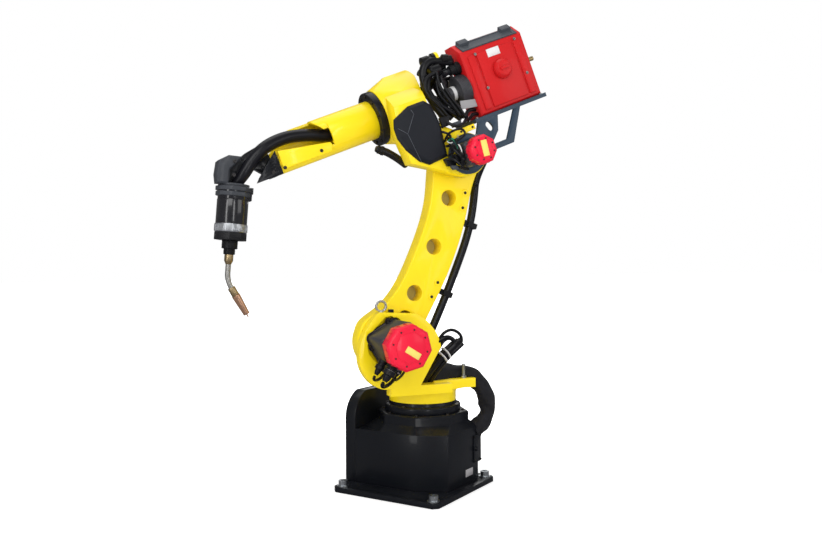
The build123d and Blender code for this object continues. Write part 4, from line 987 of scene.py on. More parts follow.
def tie(name, body, spot, way, radius):
    """A flat cable tie round a bundle; its radius is in millimetres."""
    half, thick = 1.5, 1.2
    ring = lathe(name, [(-half, radius), (-half, radius + thick), (half, radius + thick), (half, radius)],
                 spot, way, finish_named("wire_white"), 24)
    return settle(ring, body, "black_plastic")


def circle_spots(count, radius, shift=0.0):
    """Points on a circle as (across, up) pairs; shift is a share of one step."""
    turns = [tau * (k + shift) / count for k in range(count)]
    return [(radius * cos(turn), radius * sin(turn)) for turn in turns]


class ARM_OT_base_details(bpy.types.Operator):
    """Floor bolts, screws, bare plate, plug ribs and the air fitting's cap on the base."""

    bl_idname = "robot_arm.base_details"
    bl_label = "Base details"

    def execute(self, context):
        sizes = settings().fasteners
        plate_middle, bolt_half, plate_thick = 46.5, 157, 15
        corners = [(a, b) for a in (1, -1) for b in (1, -1)]
        bolts = [(on_base(plate_middle + bolt_half * a, bolt_half * b, plate_thick), UP, 1.0)
                 for a, b in corners]
        screws("floor_bolts", "base", bolts, "zinc_bolt", sizes.anchor_head, sizes.anchor_height)
        spots = [(on_base(-72 + 19 * a, 153, 110 + 37 * b), BASE_LEFT, 0.6) for a, b in corners]
        spots += [(on_base(-106, 66 * a, 96 + 46 * b), -BASE_AHEAD, 0.8) for a, b in corners]
        housing_top, collar_top = 227.6, 249.6
        spots += [(on_base(x, y, housing_top), UP, 1.0) for x, y in circle_spots(8, 124, 0.5)]
        screws("housing_screws", "base", spots, "dark_screw")
        ring = [(on_base(x, y, collar_top), UP, 0.8) for x, y in circle_spots(12, 110)]
        screws("collar_screws", "base", ring, "dark_screw")
        plate = slab("bare_base_plate", rounded(46, 22, 1.5, (-22, 46)),
                     lambda x, y, d: on_base(x, 150 + d * 0.6, y), 1, finish_named("bare_label_grey"), 0.0001)
        settle(plate, "base", "bare_steel")
        ribs = []
        for side in (31, -31):
            for step in range(4):
                ribs.append((on_base(-108 - 4 * step, side, 96), -BASE_AHEAD, 1.0))
        repeated("panel_plug_ribs", "ring_beads", ribs, finish_named("black_mould"), "base", "black_plastic",
                 24, ring_radius=0.0222, bead_radius=0.001)
        cap = lathe("air_fitting_caps", [(0, 6), (4, 6), (5, 8), (10, 8), (12, 5)], on_base(-134, 112, 158),
                    -BASE_AHEAD, finish_named("zinc_bolt"), 24)
        settle(cap, "base", "bare_steel")
        return {"FINISHED"}


class ARM_OT_turret_details(bpy.types.Operator):
    """Lifting eye, stop bolt, small block, flange screws and the turned cap of the shoulder motor."""

    bl_idname = "robot_arm.turret_details"
    bl_label = "Turret details"

    def execute(self, context):
        eye_middle, eye_steps = on_turret(24, 106, 112), 40
        points = [eye_middle + Vector((x, 0, y)) for x, y in circle_spots(eye_steps, 0.0150)]
        points.append(points[0])
        ring = tube("eye_ring", points, 0.0037, finish_named("bare_steel"), 16, ends=False)
        collar = lathe("eye_collar", [(0, 5), (0, 9.5), (3, 9.5), (5, 6), (9, 4.5)], on_turret(24, 84.5, 112),
                       UP, finish_named("bare_steel"), 32)
        settle(join_meshes("lifting_eye_bolt", [ring, collar]), "turret", "bare_steel", "lifting_eye")
        thread = [(0, 9), (6.5, 9), (6.5, 5.4)]
        for turn in range(15):
            thread += [(8.5 + 2.2 * turn, 5.5), (9.6 + 2.2 * turn, 4.8)]
        thread += [(43, 4.6), (44, 3.4)]
        pin = lathe("stop_bolt", thread, mm(-112, 60, 326), UP, finish_named("zinc_bolt"), 24)
        settle(pin, "turret", "bare_steel", "stop_pin")
        block = slab("wall_top_block", rounded(14, 11, 1.5, (-6, 91)),
                     lambda x, y, d: on_turret(x, y, 106 + d), 12, finish_named("black_mould"))
        settle(block, "turret", "black_plastic")
        spots = [(on_turret(x, y, 115), NEAR, 1.0) for x, y in ((52, -11), (2, 61), (-44, 52))]
        screws("motor_flange_screws", "turret", spots, "dark_screw", 0.0085, 0.011)
        cap_turn, cap_radius, cap_near = -14.5, 62, 284
        rings = [[on_turret(x, y, near) for x, y in octagon(radius, cap_turn)]
                 for near, radius in ((239, cap_radius), (276, cap_radius), (cap_near, 54.5))]
        settle(prism("turned_shoulder_cap", rings, finish_named("cap_red"), 0.0014), "turret", "red_plastic",
               "shoulder_motor_cap")
        cap_trim("shoulder_cap", "turret", on_turret, cap_near, 55, cap_turn, 32, (46, 18.6, -7, -13.5))
        return {"FINISHED"}


def octagon(radius, turned):
    """Corner points of an octagon whose flats are at a radius."""
    reach = radius / cos(pi / 8)
    turns = [radians(turned) + pi / 8 + pi / 4 * k for k in range(8)]
    return [(reach * cos(turn), reach * sin(turn)) for turn in turns]


def along_side(corners, k, share):
    """A point on side k of an outline, a share of the way to the next corner."""
    (x, y), (next_x, next_y) = corners[k], corners[(k + 1) % len(corners)]
    return x * (1 - share) + next_x * share, y * (1 - share) + next_y * share


def cap_trim(name, body, place, near, radius, turned, label_turned, label):
    """Raised field, rim screws, bare label and side ribs of a red motor cap."""
    field = slab(name + "_field", octagon(radius * 0.74, turned), lambda x, y, d: place(x, y, near + d), 1.8,
                 finish_named("cap_red"), 0.0008)
    settle(field, body, "red_plastic")
    rim_corners, side_corners = octagon(radius * 0.88, turned), octagon(radius + 7.5, turned)
    rim, flutes = [], []
    for k in range(8):
        rim.append((place(*along_side(rim_corners, k, 0.12), near), NEAR, 0.42))
        for share in (0.3, 0.7):
            flutes.append((place(*along_side(side_corners, k, share), near - 26), NEAR, 1.0))
    screws(name + "_screws", body, rim, "dark_screw")
    repeated(name + "_flutes", "small_bars", flutes, finish_named("cap_red"), body, "red_plastic", 10,
             bar_radius=0.0012, bar_length=0.024)
    turn = radians(label_turned)
    wide, high, across, above = label
    shape = [(across + x * cos(turn) - y * sin(turn), above + x * sin(turn) + y * cos(turn))
             for x, y in rounded(wide, high, 1.0)]
    plate = slab(name + "_label", shape, lambda x, y, d: place(x, y, near + 1.8 + d), 0.5,
                 finish_named("bare_label_yellow"), 0.0001)
    settle(plate, body, "red_plastic")


class ARM_OT_canvas(bpy.types.Operator):
    """Canvas cover that rises from the turret's bowl and turns into the sleeve behind the base."""

    bl_idname = "robot_arm.canvas"
    bl_label = "Canvas cover and sleeve"

    def execute(self, context):
        lines = settings().lines
        spots = route([mm(6, -4, 287), mm(2, 2, 300), mm(-14, 12, 313), mm(-44, 18, 326), mm(-78, 21, 333),
                       mm(-112, 25, 336), mm(-150, 33, 330), mm(-180, 44, 296), mm(-197, 54, 252),
                       mm(-194, 60, 208), mm(-170, 60, 176), mm(-150, 54, 166)])
        wide, narrow, fold = 0.082, lines.sleeve, lines.fold

        def swell(along, turn):
            taper = min(1.0, max(0.0, (along - 0.02) / 0.36))
            size = wide + (narrow - wide) * (taper * taper * (3 - 2 * taper)) ** 0.8
            creases = sin(along * 30 + 2.6 * sin(turn)) * (0.35 + 0.65 * max(0.0, -cos(turn)))
            creases += 0.5 * sin(along * 61 + 3 * turn + 1.0)
            bulge = noise.noise(Vector((along * 7, cos(turn) * 1.5, sin(turn) * 1.5)))
            pinch = 1.0 - 0.16 * max(0.0, cos((along - 0.84) * 18)) if along > 0.76 else 1.0
            return size * pinch + fold * (0.42 * creases + 1.0 * bulge) * (0.4 + 0.6 * min(1.0, along * 4))

        dense = []
        for a, b in zip(spots, spots[1:]):
            dense += [a, (a + b) / 2]
        dense.append(spots[-1])
        cloth = tube("canvas_sleeve", dense, narrow, finish_named("black_canvas_cloth"), 40, swell)
        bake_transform(cloth)
        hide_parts("canvas_cover", "harness_sleeve")
        return {"FINISHED"}


class ARM_OT_shoulder_cables(bpy.types.Operator):
    """Cable loops behind the turret wall, the bundle into the bowl and the motor's plugs."""

    bl_idname = "robot_arm.shoulder_cables"
    bl_label = "Shoulder cables"

    def execute(self, context):
        thick = settings().lines.cable
        course = [(-57, 128, 440), (-43, 127, 428), (-19, 120, 406), (2, 103, 373), (20, 84, 340),
                  (30, 66, 312)]
        bundle = []
        for k, (dx, dy, share) in enumerate(((0, 0, 2.1), (-11, -8, 1.9), (7, -12, 1.7), (-20, 2, 1.5))):
            points = [(x + dx, y + dy, z) for x, y, z in course]
            bundle.append(strand(f"bundle_{k}", mm, points, thick * share, sides=14))
        loops = [
            (1.05, [(4, 108, 430), (-5, 130, 468), (-39, 132, 486), (-71, 132, 468), (-75, 130, 442),
                    (-57, 128, 426), (-40, 124, 422)]),
            (1.25, [(8, 106, 420), (1, 124, 448), (-25, 128, 464), (-49, 128, 454), (-53, 128, 436),
                    (-41, 126, 422), (-27, 120, 406)]),
            (1.1, [(4, 104, 400), (-11, 120, 442), (-33, 120, 458), (-55, 118, 448), (-49, 116, 426),
                   (-23, 110, 400), (-2, 96, 366), (14, 78, 330)])]
        for k, (share, points) in enumerate(loops):
            bundle.append(strand(f"loop_{k}", mm, points, thick * share))
        settle(join_meshes("turret_cable_loops", bundle), "turret", "cable_rubber", "turret_cables")
        ends = ((mm(-51, 128, 436), (-0.75, 0, 0.66)), (mm(-55, 118, 428), (-0.8, 0, 0.6)))
        for k, (spot, way) in enumerate(ends):
            shell = plug(f"loop_plug_{k}", spot, way, finish_named("black_mould"), 30, 9.5)
            settle(shell, "turret", "black_plastic")
        tie("bundle_tie_a", "turret", mm(-28, 120, 413), (0.8, 0, -0.6), 19)
        tie("bundle_tie_b", "turret", mm(-17, 116, 402), (0.75, 0, -0.66), 19)
        shells, way = [], Vector((0.53, 0, -0.848))
        for k, (x, up, near, long, radius) in enumerate(((31, -58, 223, 52, 17), (47, -50, 184, 44, 13),
                                                         (6, -66, 214, 30, 9))):
            start = on_turret(x, up, near)
            shells.append(plug(f"motor_plug_{k}", start - way * 0.008, way, finish_named("black_mould"),
                               long, radius))
            rim = [(0, radius + 1), (2.5, radius + 1)]
            shells.append(lathe(f"motor_plug_ring_{k}", rim, start + way * 0.010, way,
                                finish_named("screw_steel"), 28))
        settle(join_meshes("motor_plugs", shells), "turret", "black_plastic", "shoulder_connectors")
        runs = ((1.2, [(57, -98, 223), (62, -107, 219), (50, -114, 206), (22, -108, 184), (0, -96, 160),
                       (-16, -84, 131)]),
                (1.0, [(69, -85, 184), (72, -92, 180), (62, -99, 168), (42, -98, 152), (24, -90, 131)]),
                (0.8, [(20, -88, 214), (18, -98, 206), (-2, -96, 184), (-30, -84, 156), (-46, -72, 131)]))
        for letter, (share, points) in zip("abc", runs):
            settle(strand(f"motor_cable_{letter}", on_turret, points, thick * share), "turret",
                   "cable_rubber")
        return {"FINISHED"}


class ARM_OT_arm_details(bpy.types.Operator):
    """Screw bosses, blind hole floors, hub screws and the conduit of the lower arm."""

    bl_idname = "robot_arm.arm_details"
    bl_label = "Lower arm details"

    def execute(self, context):
        bosses, heads = [], []
        for up, ahead in ((507, -62), (462, -72), (222, -83), (175, -81)):
            bosses.append(lathe("boss", [(-2, 11), (1.2, 11), (2.2, 9.5)], on_arm(ahead, up, 92), NEAR,
                                finish_named("yellow_enamel"), 32))
            heads.append((on_arm(ahead, up, 94), NEAR, 0.75))
        settle(join_meshes("arm_bosses", bosses), "lower_arm", "yellow_paint")
        screws("arm_boss_screws", "lower_arm", heads, "dark_screw")
        floors = [lathe("floor", [(0, 23.8), (1.0, 23.8)], on_arm(ahead, up, 40), NEAR,
                        finish_named("yellow_cast_inside"), 40)
                  for ahead, up in ((-19.4, 471), (-30.8, 316.8), (-26.4, 165), (-26.4, 84))]
        settle(join_meshes("arm_hole_floors", floors), "lower_arm", "yellow_paint")
        ring = [(on_arm(x, up + y, 23), -NEAR, 1.0) for up, radius in ((0, 54), (600, 47))
                for x, y in circle_spots(12, radius)]
        screws("hub_cover_screws", "lower_arm", ring, "screw_steel")
        points = [(-134, 84, 56), (-136, 130, 56), (-138, 200, 56), (-138, 290, 56), (-136, 380, 56),
                  (-127, 450, 56), (-112, 510, 56), (-99, 552, 56)]
        skin = strand("conduit_skin", on_arm, points, settings().lines.conduit, "hose_jacket", 20)
        settle(skin, "lower_arm", "cable_rubber", "arm_conduit")
        return {"FINISHED"}


class ARM_OT_bridges(bpy.types.Operator):
    """Cable bridges that bend across the second and third axes, and the feeder's hose."""

    bl_idname = "robot_arm.bridges"
    bl_label = "Cable bridges"

    def execute(self, context):
        radius = settings().lines.conduit
        start = on_arm(-134, 84, 56)
        spots = route([start, start - ARM_UP * 0.020, mm(-14, 58, 430), mm(-8, 60, 390), mm(0, 54, 362),
                       mm(6, 50, 345)])
        skin = tube("shoulder_bridge", spots, radius, finish_named("hose_jacket"), 20)
        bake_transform(skin)
        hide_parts("shoulder_cable_bridge")
        top = on_arm(-99, 552, 56)
        middle = ELBOW * 0.001
        end = middle + mm(-92, 104, 56)
        spots = route([top, top + ARM_UP * 0.022 + ARM_AHEAD * 0.006, middle + mm(-104, 70, 8),
                       middle + mm(-98, 90, 34), end])
        skin = tube("elbow_bridge", spots, radius, finish_named("hose_jacket"), 20)
        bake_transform(skin)
        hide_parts("elbow_cable_bridge")
        points = [(-57.4, 246, 112), (-50, 246, 112), (-36, 245, 104), (-16, 234, 66), (2, 212, 26),
                  (22, 199, 6), (44, 195, 0)]
        skin = strand("feeder_hose_skin", on_elbow, points, settings().lines.feeder_hose, "hose_jacket", 20)
        settle(skin, "elbow", "cable_rubber", "feeder_hose")
        return {"FINISHED"}


class ARM_OT_elbow_details(bpy.types.Operator):
    """Motor cap trim, harness wires, clamp, boxes and screws, stub hose and collar screws of the elbow."""

    bl_idname = "robot_arm.elbow_details"
    bl_label = "Elbow details"

    def execute(self, context):
        cap_trim("elbow_cap", "elbow", on_elbow, 270, 33, 0, 97, (46, 19, -1, 2))
        lines = [
            ("cable_jacket", 3.4, [(59, 57, 160), (54, 75, 185), (38, 79, 200), (15, 77, 205), (7, 62, 205),
                                   (16, 52, 205), (44, 47, 200)]),
            ("wire_green", 3.0, [(55, 54, 170), (46, 62, 190), (46, 46, 205), (47, 32, 208), (46, 18, 205)]),
            ("wire_white", 1.8, [(47, 31, 205), (46, 39, 214), (46, 29, 222), (46, 10, 220), (48, 0, 205)]),
            ("cable_jacket", 4.2, [(60, 43, 165), (50, 41, 190), (47, 22, 205), (46, -5, 208),
                                   (44, -24, 205)]),
            ("cable_jacket", 3.6, [(69, 15, 170), (56, 24, 195), (46, 21, 215), (45, 3, 220)]),
            ("cable_jacket", 4.6, [(46, 64, 165), (61, 34, 195), (50, 10, 208), (45, -12, 216)]),
            ("cable_jacket", 3.8, [(44, 54, 200), (47, 35, 214), (49, 11, 218), (48, -8, 212),
                                   (51, -24, 200)]),
            ("cable_jacket", 4.4, [(84, 8, 165), (68, 7, 180), (60, -4, 195), (52, -26, 200)]),
            ("wire_white", 1.6, [(57, 56, 175), (60, 47, 190), (55, 48, 200)]),
            ("cable_jacket", 4.0, [(78, -8, 166), (64, -18, 178), (50, -30, 186), (30, -42, 190)]),
            ("cable_jacket", 3.6, [(58, 88, 160), (40, 74, 176), (52, 52, 190), (62, 22, 186),
                                   (56, -10, 176)]),
            ("cable_jacket", 4.6, [(30, 110, 156), (22, 92, 172), (6, 84, 176), (-20, 88, 168),
                                   (-40, 96, 152)])]
        wires = [strand(f"wire_{k}", on_elbow, points, 0.001 * radius, finish)
                 for k, (finish, radius, points) in enumerate(lines)]
        settle(join_meshes("harness_wires", wires), "elbow", "cable_rubber")
        shells = [slab("clamp", [(49, 66), (9, 76), (-50, 76), (-51, 60), (6, 58), (48, 51)],
                       lambda x, y, d: on_elbow(x, y, 158 + d), 5, finish_named("yellow_enamel"), 0.0010),
                  slab("strap", [(53, 22), (41, 20), (40, -26), (51, -29)],
                       lambda x, y, d: on_elbow(x, y, 164 + d), 3, finish_named("yellow_enamel"), 0.0006)]
        settle(join_meshes("harness_clamp", shells), "elbow", "yellow_paint")
        boxes = [slab(name, outline, lambda x, y, d: on_elbow(x, y, out + d), deep,
                      finish_named(finish), 0.001)
                 for name, finish, out, deep, outline in (
                     ("box_a", "grey_mould", 156, 10, [(20, 100), (-13, 99), (-11, 84), (19, 86)]),
                     ("box_b", "black_mould", 146, 14, [(46, 127), (17, 122), (24, 97), (48, 96)]),
                     ("box_c", "black_mould", 158, 16, [(83, 9), (56, 3), (54, -17), (80, -12)]),
                     ("box_d", "black_mould", 168, 24, [(58, 15), (41, 11), (41, -13), (56, -9)]),
                     ("box_e", "grey_mould", 170, 16, [(76, -14), (58, -18), (56, -30), (72, -28)]))]
        settle(join_meshes("harness_boxes", boxes), "elbow", "black_plastic")
        heads = [(on_elbow(x, y, 163), NEAR, 0.6) for x, y in ((-2, 67), (-42, 68), (40, 60))]
        screws("harness_screws", "elbow", heads, "dark_screw")
        points = [(217, 101, 60), (204, 92, 62), (190, 76, 64), (176, 60, 62), (164, 46, 56), (152, 34, 46)]
        hose = strand("stub_hose", on_elbow, points, settings().lines.stub_hose, "hose_jacket", 18)
        end = lathe("stub_nut", [(-12, 11), (-10, 14), (-2, 14), (0, 12.4), (9, 12.4), (11, 10), (15, 9),
                                 (15, 5)],
                    on_elbow(*points[0]), FORE_AHEAD * 0.82 + FORE_UP * 0.57, finish_named("black_mould"), 6)
        settle(join_meshes("stub_hose_assembly", [hose, end]), "elbow", "cable_rubber")
        ring = [(on_elbow(188, 195 + y, x), FORE_AHEAD, 0.9) for x, y in circle_spots(10, 72)]
        screws("collar_screws_front", "elbow", ring, "dark_screw")
        return {"FINISHED"}


class ARM_OT_side_cover(bpy.types.Operator):
    """Side cover of the elbow with its folded facets, painted highlights along the creases and rounded rim.
    """

    bl_idname = "robot_arm.side_cover"
    bl_label = "Elbow side cover"

    def execute(self, context):
        rim = [(182, 168), (126, 190), (73, 190), (56, 172), (50, 131), (49, 101), (62, 14), (125, 10),
               (152, 30), (179, 74), (192, 113), (191, 143)]
        inner = [(170, 161), (124, 180), (79, 180), (66, 166), (60, 130), (59, 102), (71, 24), (122, 20),
                 (148, 36), (170, 78), (181, 116), (179, 138)]
        depth = [158, 161, 163, 163, 163, 163, 163, 163, 160, 157, 157, 157]
        crease = [(125, 177, 162), (121, 163, 164), (160, 116, 164), (154, 55, 164), (150, 26, 162)]
        count = len(rim)
        points = [on_elbow(f, u, 150.0) for f, u in rim]
        points += [on_elbow(f * 0.985 + 1.8, u * 0.985 + 1.5, 155) for f, u in rim]
        points += [on_elbow(f, u, y) for (f, u), y in zip(inner, depth)]
        points += [on_elbow(*spot) for spot in crease[1:4]]
        faces = [tuple(range(count))]
        for ring in (0, count):
            faces += [(ring + k, ring + (k + 1) % count, ring + count + (k + 1) % count, ring + count + k)
                      for k in range(count)]
        top = 2 * count
        crest, fold, foot = 3 * count, 3 * count + 1, 3 * count + 2
        faces += [(top + 1, top + 2, crest), (top + 0, top + 1, crest), (top + 0, crest, fold, top + 11),
                  (top + 11, fold, top + 10), (top + 10, fold, foot, top + 9), (top + 9, foot, top + 8),
                  (top + 8, foot, top + 7),
                  (top + 2, top + 3, top + 4, top + 5, top + 6, top + 7, foot, fold, crest)]
        cover = mesh_piece("folded_side_cover", points, faces, finish_named("cover_black"))
        soften(cover, 0.0016, 3, 3)
        settle(cover, "elbow", "black_plastic", "elbow_side_cover")
        # Thin lighter tubes along the creases, lifted a little off the cover: painted highlights on the fold
        # edges.
        shift = NEAR * 0.0002
        pairs = list(zip(crease, crease[1:])) + [((181, 140, 158), crease[2])]
        edges = [tube(f"crease_highlight_{k}", [on_elbow(*spot) + shift for spot in pair], 0.0008,
                      finish_named("highlight_grey_mould"), 6) for k, pair in enumerate(pairs)]
        settle(join_meshes("crease_highlights", edges), "elbow", "black_plastic")
        return {"FINISHED"}


class ARM_OT_feeder_details(bpy.types.Operator):
    """Screws, bare label and plate, motor band and fins, knob, cables and fittings of the wire feeder."""

    bl_idname = "robot_arm.feeder_details"
    bl_label = "Feeder details"

    def execute(self, context):
        face = 155
        heads = [(on_elbow(f, u, face), NEAR, 0.75)
                 for f, u in ((-136, 264), (-279, 269), (-283, 161), (-139, 159))]
        screws("feeder_screws", "elbow", heads, "screw_steel")
        label = slab("feeder_label", rounded(44, 24, 1, (-196, 254)),
                     lambda x, y, d: on_elbow(x, y, face + d), 0.5, finish_named("bare_label_white"), 0.0001)
        settle(label, "elbow", "red_paint")
        plate = slab("feeder_plate", [(-43, 152), (-99, 141), (-94, 119), (-38, 127)],
                     lambda x, y, d: on_elbow(x, y, 140 + d), 2, finish_named("bare_label_grey"), 0.0002)
        settle(plate, "elbow", "bare_steel")
        motor_up, motor_near = 180, 106
        band = lathe("motor_band", [(0, 21.0), (0, 21.7), (11, 21.7), (11, 21.0)],
                     on_elbow(-52, motor_up, motor_near), FORE_AHEAD, finish_named("bare_label_white"), 48)
        settle(band, "elbow", "black_plastic")
        fins = [(on_elbow(-88 + 4.2 * k, motor_up, motor_near), FORE_AHEAD, 1.0) for k in range(7)]
        repeated("motor_fins", "ring_beads", fins, finish_named("motor_black"), "elbow", "motor_black", 40,
                 ring_radius=0.046, bead_radius=0.0011)
        ends = [(on_elbow(-24, motor_up + y, motor_near + x), FORE_AHEAD, 0.7)
                for x, y in circle_spots(4, 13)]
        screws("motor_end_screws", "elbow", ends, "screw_steel")
        ribs = [(on_elbow(-88 + 5 * k, 246, 112), FORE_AHEAD, 1.0) for k in range(3)]
        repeated("outlet_ribs", "ring_beads", ribs, finish_named("black_mould"), "elbow", "black_plastic", 32,
                 ring_radius=0.0188, bead_radius=0.0012)
        knob = (-204, 198)
        flutes = [(on_elbow(knob[0] + x, knob[1] + y, 160), NEAR, 1.0) for x, y in circle_spots(18, 28.6)]
        repeated("knob_flutes", "small_bars", flutes, finish_named("feeder_red"), "elbow", "red_paint", 10,
                 bar_radius=0.0016, bar_length=0.0085)
        grip = slab("knob_grip", rounded(30, 8, 3, knob), lambda x, y, d: on_elbow(x, y, 174 + d), 7,
                    finish_named("feeder_red"), 0.0015)
        settle(grip, "elbow", "red_paint")
        runs = [
            (12.0, [(-78, 268, 112), (-36, 285, 112), (-10, 293, 112), (14, 285, 112), (30, 261, 112),
                    (33, 220, 112), (30, 182, 115), (22, 147, 118), (7, 116, 120)]),
            (9.0, [(-60, 262, 92), (-20, 276, 90), (12, 262, 88), (20, 230, 88), (14, 190, 92), (2, 150, 100),
                   (-14, 112, 112)]),
            (4.8, [(-14, 253, 130), (20, 255, 132), (43, 236, 134), (48, 203, 136), (31, 172, 136),
                   (13, 140, 134), (4, 112, 134)]),
            (4.8, [(-6, 250, 136), (3, 222, 140), (-2, 190, 142), (-15, 151, 142), (-30, 110, 140)]),
            (4.8, [(-13, 239, 140), (-9, 209, 144), (-17, 171, 146), (-32, 136, 146), (-42, 100, 142)]),
            (6.0, [(10, 251, 118), (31, 227, 120), (30, 187, 124), (7, 152, 128), (-23, 116, 130)]),
            (5.0, [(-5, 236, 124), (8, 205, 128), (1, 168, 132), (-23, 133, 134), (-41, 102, 134)]),
            (5.0, [(-23, 225, 130), (-12, 192, 132), (-20, 152, 134), (-38, 120, 136)]),
            (8.0, [(11, 186, 104), (-4, 150, 108), (-22, 124, 116), (-34, 100, 126)]),
            (5.5, [(-90, 112, 124), (-70, 120, 130), (-52, 112, 134), (-46, 96, 138), (-30, 88, 146)]),
            (5.0, [(-92, 98, 128), (-74, 104, 134), (-60, 96, 138), (-40, 90, 150)]),
            (5.0, [(16, 206, 70), (-12, 188, 66), (-44, 150, 70), (-60, 118, 84)]),
            (6.5, [(22, 240, 66), (-6, 236, 60), (-36, 230, 64), (-84, 228, 70)]),
            (11.0, [(14, 276, 64), (-16, 250, 56), (-30, 214, 54), (-32, 170, 58), (-24, 126, 66)]),
            (10.0, [(18, 236, 50), (4, 196, 50), (-6, 156, 56), (-10, 118, 66)]),
            (8.0, [(-60, 250, 60), (-66, 222, 56), (-58, 176, 54), (-46, 120, 64)])]
        leads = [strand(f"lead_{k}", on_elbow, points, 0.001 * radius, sides=16)
                 for k, (radius, points) in enumerate(runs)]
        settle(join_meshes("feeder_leads", leads), "elbow", "cable_rubber")
        fittings = [
            lathe("fitting_a", [(0, 12), (2, 15.5), (24, 15.5), (26, 13), (34, 13), (36, 17), (44, 17),
                                (46, 14), (54, 14)], on_elbow(16, 296, 104), -FORE_AHEAD,
                  finish_named("black_mould"), 32),
            lathe("fitting_b", [(0, 9), (3, 12.5), (20, 12.5), (22, 10), (32, 10)], on_elbow(-44, 288, 118),
                  -FORE_AHEAD * 0.96 - FORE_UP * 0.28, finish_named("black_mould"), 32),
            lathe("fitting_c", [(0, 14), (4, 16.5), (30, 16.5), (34, 15)], on_elbow(6, 262, 116), -FORE_AHEAD,
                  finish_named("black_mould"), 32)]
        settle(join_meshes("feeder_fittings", fittings), "elbow", "black_plastic")
        band = lathe("fitting_band", [(0, 14.5), (0, 17.6), (9, 17.6), (9, 14.5)], on_elbow(-29, 296, 104),
                     -FORE_AHEAD, finish_named("yellow_enamel"), 32)
        settle(band, "elbow", "yellow_paint")
        tray = [(on_elbow(f, 86, n), FORE_UP, 0.9) for f in (-306, -74) for n in (34, 148)]
        screws("tray_screws", "elbow", tray, "screw_steel")
        turns = [tau * k / 6 + 0.3 for k in (1, 2)]
        hub = [(on_elbow(60 * cos(turn), 60 * sin(turn), 160), NEAR, 0.8) for turn in turns]
        screws("bracket_screws", "elbow", hub, "screw_steel")
        return {"FINISHED"}


class ARM_OT_forearm_details(bpy.types.Operator):
    """Screws of the side plate and the wrist link, and the torch hose through the open forearm."""

    bl_idname = "robot_arm.forearm_details"
    bl_label = "Forearm and torch hose"

    def execute(self, context):
        plate = [(on_elbow(383, 160, 50), NEAR, 0.85), (on_elbow(502, 151, 50), NEAR, 0.85)]
        screws("side_plate_screws", "forearm", plate, "dark_screw")
        link = [(on_elbow(540, 150, 58), NEAR, 0.85), (on_elbow(522, 190, 58), NEAR, 0.85)]
        screws("link_plate_screws", "forearm", link, "dark_screw")
        inside = [(316, 195, 0), (343, 199, 0), (370, 210, 2), (401, 220, 6), (449, 231, 12), (494, 231, 20),
                  (537, 223, 27), (578, 203, 28), (611, 177, 26)]
        points = [on_elbow(*point) for point in inside]
        points += [on_torch(-13, 26, 16), on_torch(-4, 42, 5), on_torch(0, 57, 0)]
        spots = route(points)
        size = settings().lines.hose
        skin = tube("torch_hose_skin", spots, size, finish_named("hose_jacket"), 24,
                    lambda along, turn: size - 0.0025 * max(0.0, along - 0.75) / 0.25)
        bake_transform(skin)
        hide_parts("torch_hose")
        return {"FINISHED"}


class ARM_OT_torch_details(bpy.types.Operator):
    """Wrist screws, knurled ring, clamp tiers and gland ribs of the torch."""

    bl_idname = "robot_arm.torch_details"
    bl_label = "Torch details"

    def execute(self, context):
        down = -TORCH_UP
        spots = [(on_torch(8, y, 38), NEAR, 0.9) for y in (-20, 18)] + [(on_torch(-24, 4, 38), NEAR, 0.9)]
        screws("wrist_screws", "wrist", spots, "dark_screw")
        knurl = [(on_torch(x, 166, y), down, 1.0) for x, y in circle_spots(60, 46)]
        repeated("ring_knurls", "small_bars", knurl, finish_named("aluminium"), "torch", "aluminium_ring", 6,
                 bar_radius=0.0007, bar_length=0.018)
        collars = []
        for k, (top, foot, radius) in enumerate(((48, 61, 47), (63, 76, 46))):
            levels = ((top, radius - 1.5), (top + 1.5, radius), (foot - 1.5, radius), (foot, radius - 1.5))
            rings = [[on_torch(x, level, y) for x, y in octagon(size, 10)] for level, size in levels]
            collars.append(prism(f"clamp_tier_{k}", rings, finish_named("wrist_slate"), 0.0006))
        settle(join_meshes("clamp_tiers", collars), "torch", "black_plastic")
        ribs = [(on_torch(0, 203 + 3.6 * k, 0), down, 1.0) for k in range(6)]
        repeated("connector_ribs", "ring_beads", ribs, finish_named("black_mould"), "torch", "black_plastic",
                 36, ring_radius=0.022, bead_radius=0.0009)
        small = [(on_torch(0, 226 + 3.4 * k, 0), down, 1.0) for k in range(4)]
        repeated("gland_ribs", "ring_beads", small, finish_named("black_mould"), "torch", "black_plastic", 36,
                 ring_radius=0.016, bead_radius=0.0008)
        return {"FINISHED"}


STEPS = ("stage", "castings", "base_details", "canvas", "turret_details", "shoulder_cables", "arm_details",
         "bridges", "elbow_details", "side_cover", "feeder_details", "forearm_details", "torch_details")


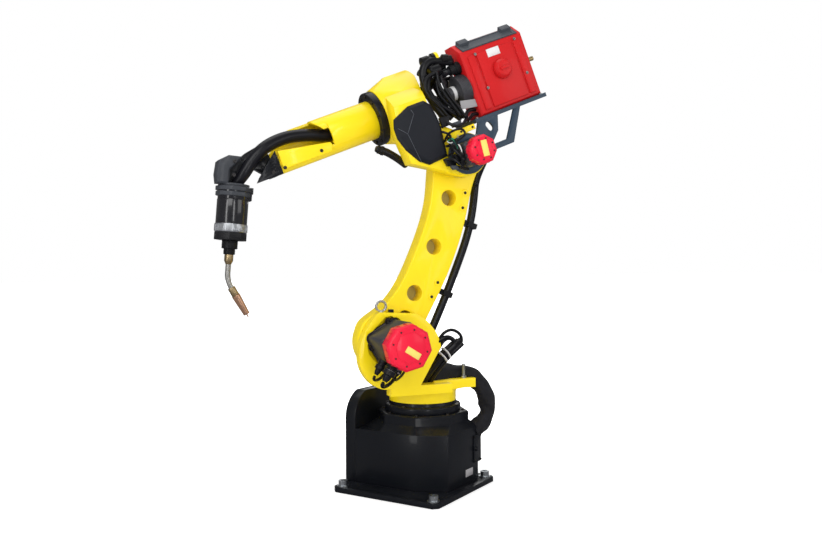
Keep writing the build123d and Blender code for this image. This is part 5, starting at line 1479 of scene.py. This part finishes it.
class ARM_OT_dress_all(bpy.types.Operator):
    """Runs every step in order."""

    bl_idname = "robot_arm.dress_all"
    bl_label = "Dress the whole arm"

    def execute(self, context):
        bpy.ops.robot_arm.finishes()
        for step in STEPS:
            getattr(bpy.ops.robot_arm, step)()
        return {"FINISHED"}


class ARM_PG_all(bpy.types.PropertyGroup):
    """All settings of the dresser."""

    paint: PointerProperty(name="Paint", description="Colours", type=ARM_PG_paint)
    wear: PointerProperty(name="Wear", description="Age", type=ARM_PG_wear)
    fasteners: PointerProperty(name="Fasteners", description="Bolts and screws", type=ARM_PG_fasteners)
    lines: PointerProperty(name="Lines", description="Hoses, cables and cloth", type=ARM_PG_lines)
    stage: PointerProperty(name="Stage", description="Camera and floor", type=ARM_PG_stage)


class ARM_PT_panel(bpy.types.Panel):
    """Sidebar panel with every step and its settings."""

    bl_idname = "ARM_PT_panel"
    bl_label = "Robot Arm"
    bl_space_type = "VIEW_3D"
    bl_region_type = "UI"
    bl_category = "Robot Arm"

    def draw(self, context):
        layout = self.layout
        held = context.scene.robot_arm
        for group in (held.paint, held.wear, held.fasteners, held.lines, held.stage):
            box = layout.box()
            for key in group.__annotations__:
                box.prop(group, key)
        layout.operator("robot_arm.finishes")
        for step in STEPS:
            layout.operator("robot_arm." + step)
        layout.operator("robot_arm.dress_all")


CLASSES = (ARM_PG_paint, ARM_PG_wear, ARM_PG_fasteners, ARM_PG_lines, ARM_PG_stage, ARM_PG_all, ARM_OT_stage,
           ARM_OT_finishes, ARM_OT_castings, ARM_OT_base_details, ARM_OT_canvas, ARM_OT_turret_details,
           ARM_OT_shoulder_cables, ARM_OT_arm_details, ARM_OT_bridges, ARM_OT_elbow_details,
           ARM_OT_side_cover, ARM_OT_feeder_details, ARM_OT_forearm_details, ARM_OT_torch_details,
           ARM_OT_dress_all, ARM_PT_panel)


def register():
    for kind in CLASSES:
        bpy.utils.register_class(kind)
    bpy.types.Scene.robot_arm = PointerProperty(type=ARM_PG_all)


def unregister():
    del bpy.types.Scene.robot_arm
    for kind in reversed(CLASSES):
        bpy.utils.unregister_class(kind)


def main():
    register()
    bpy.ops.robot_arm.finishes()
    for step in STEPS:
        getattr(bpy.ops.robot_arm, step)()


if __name__ == "__main__":
    main()
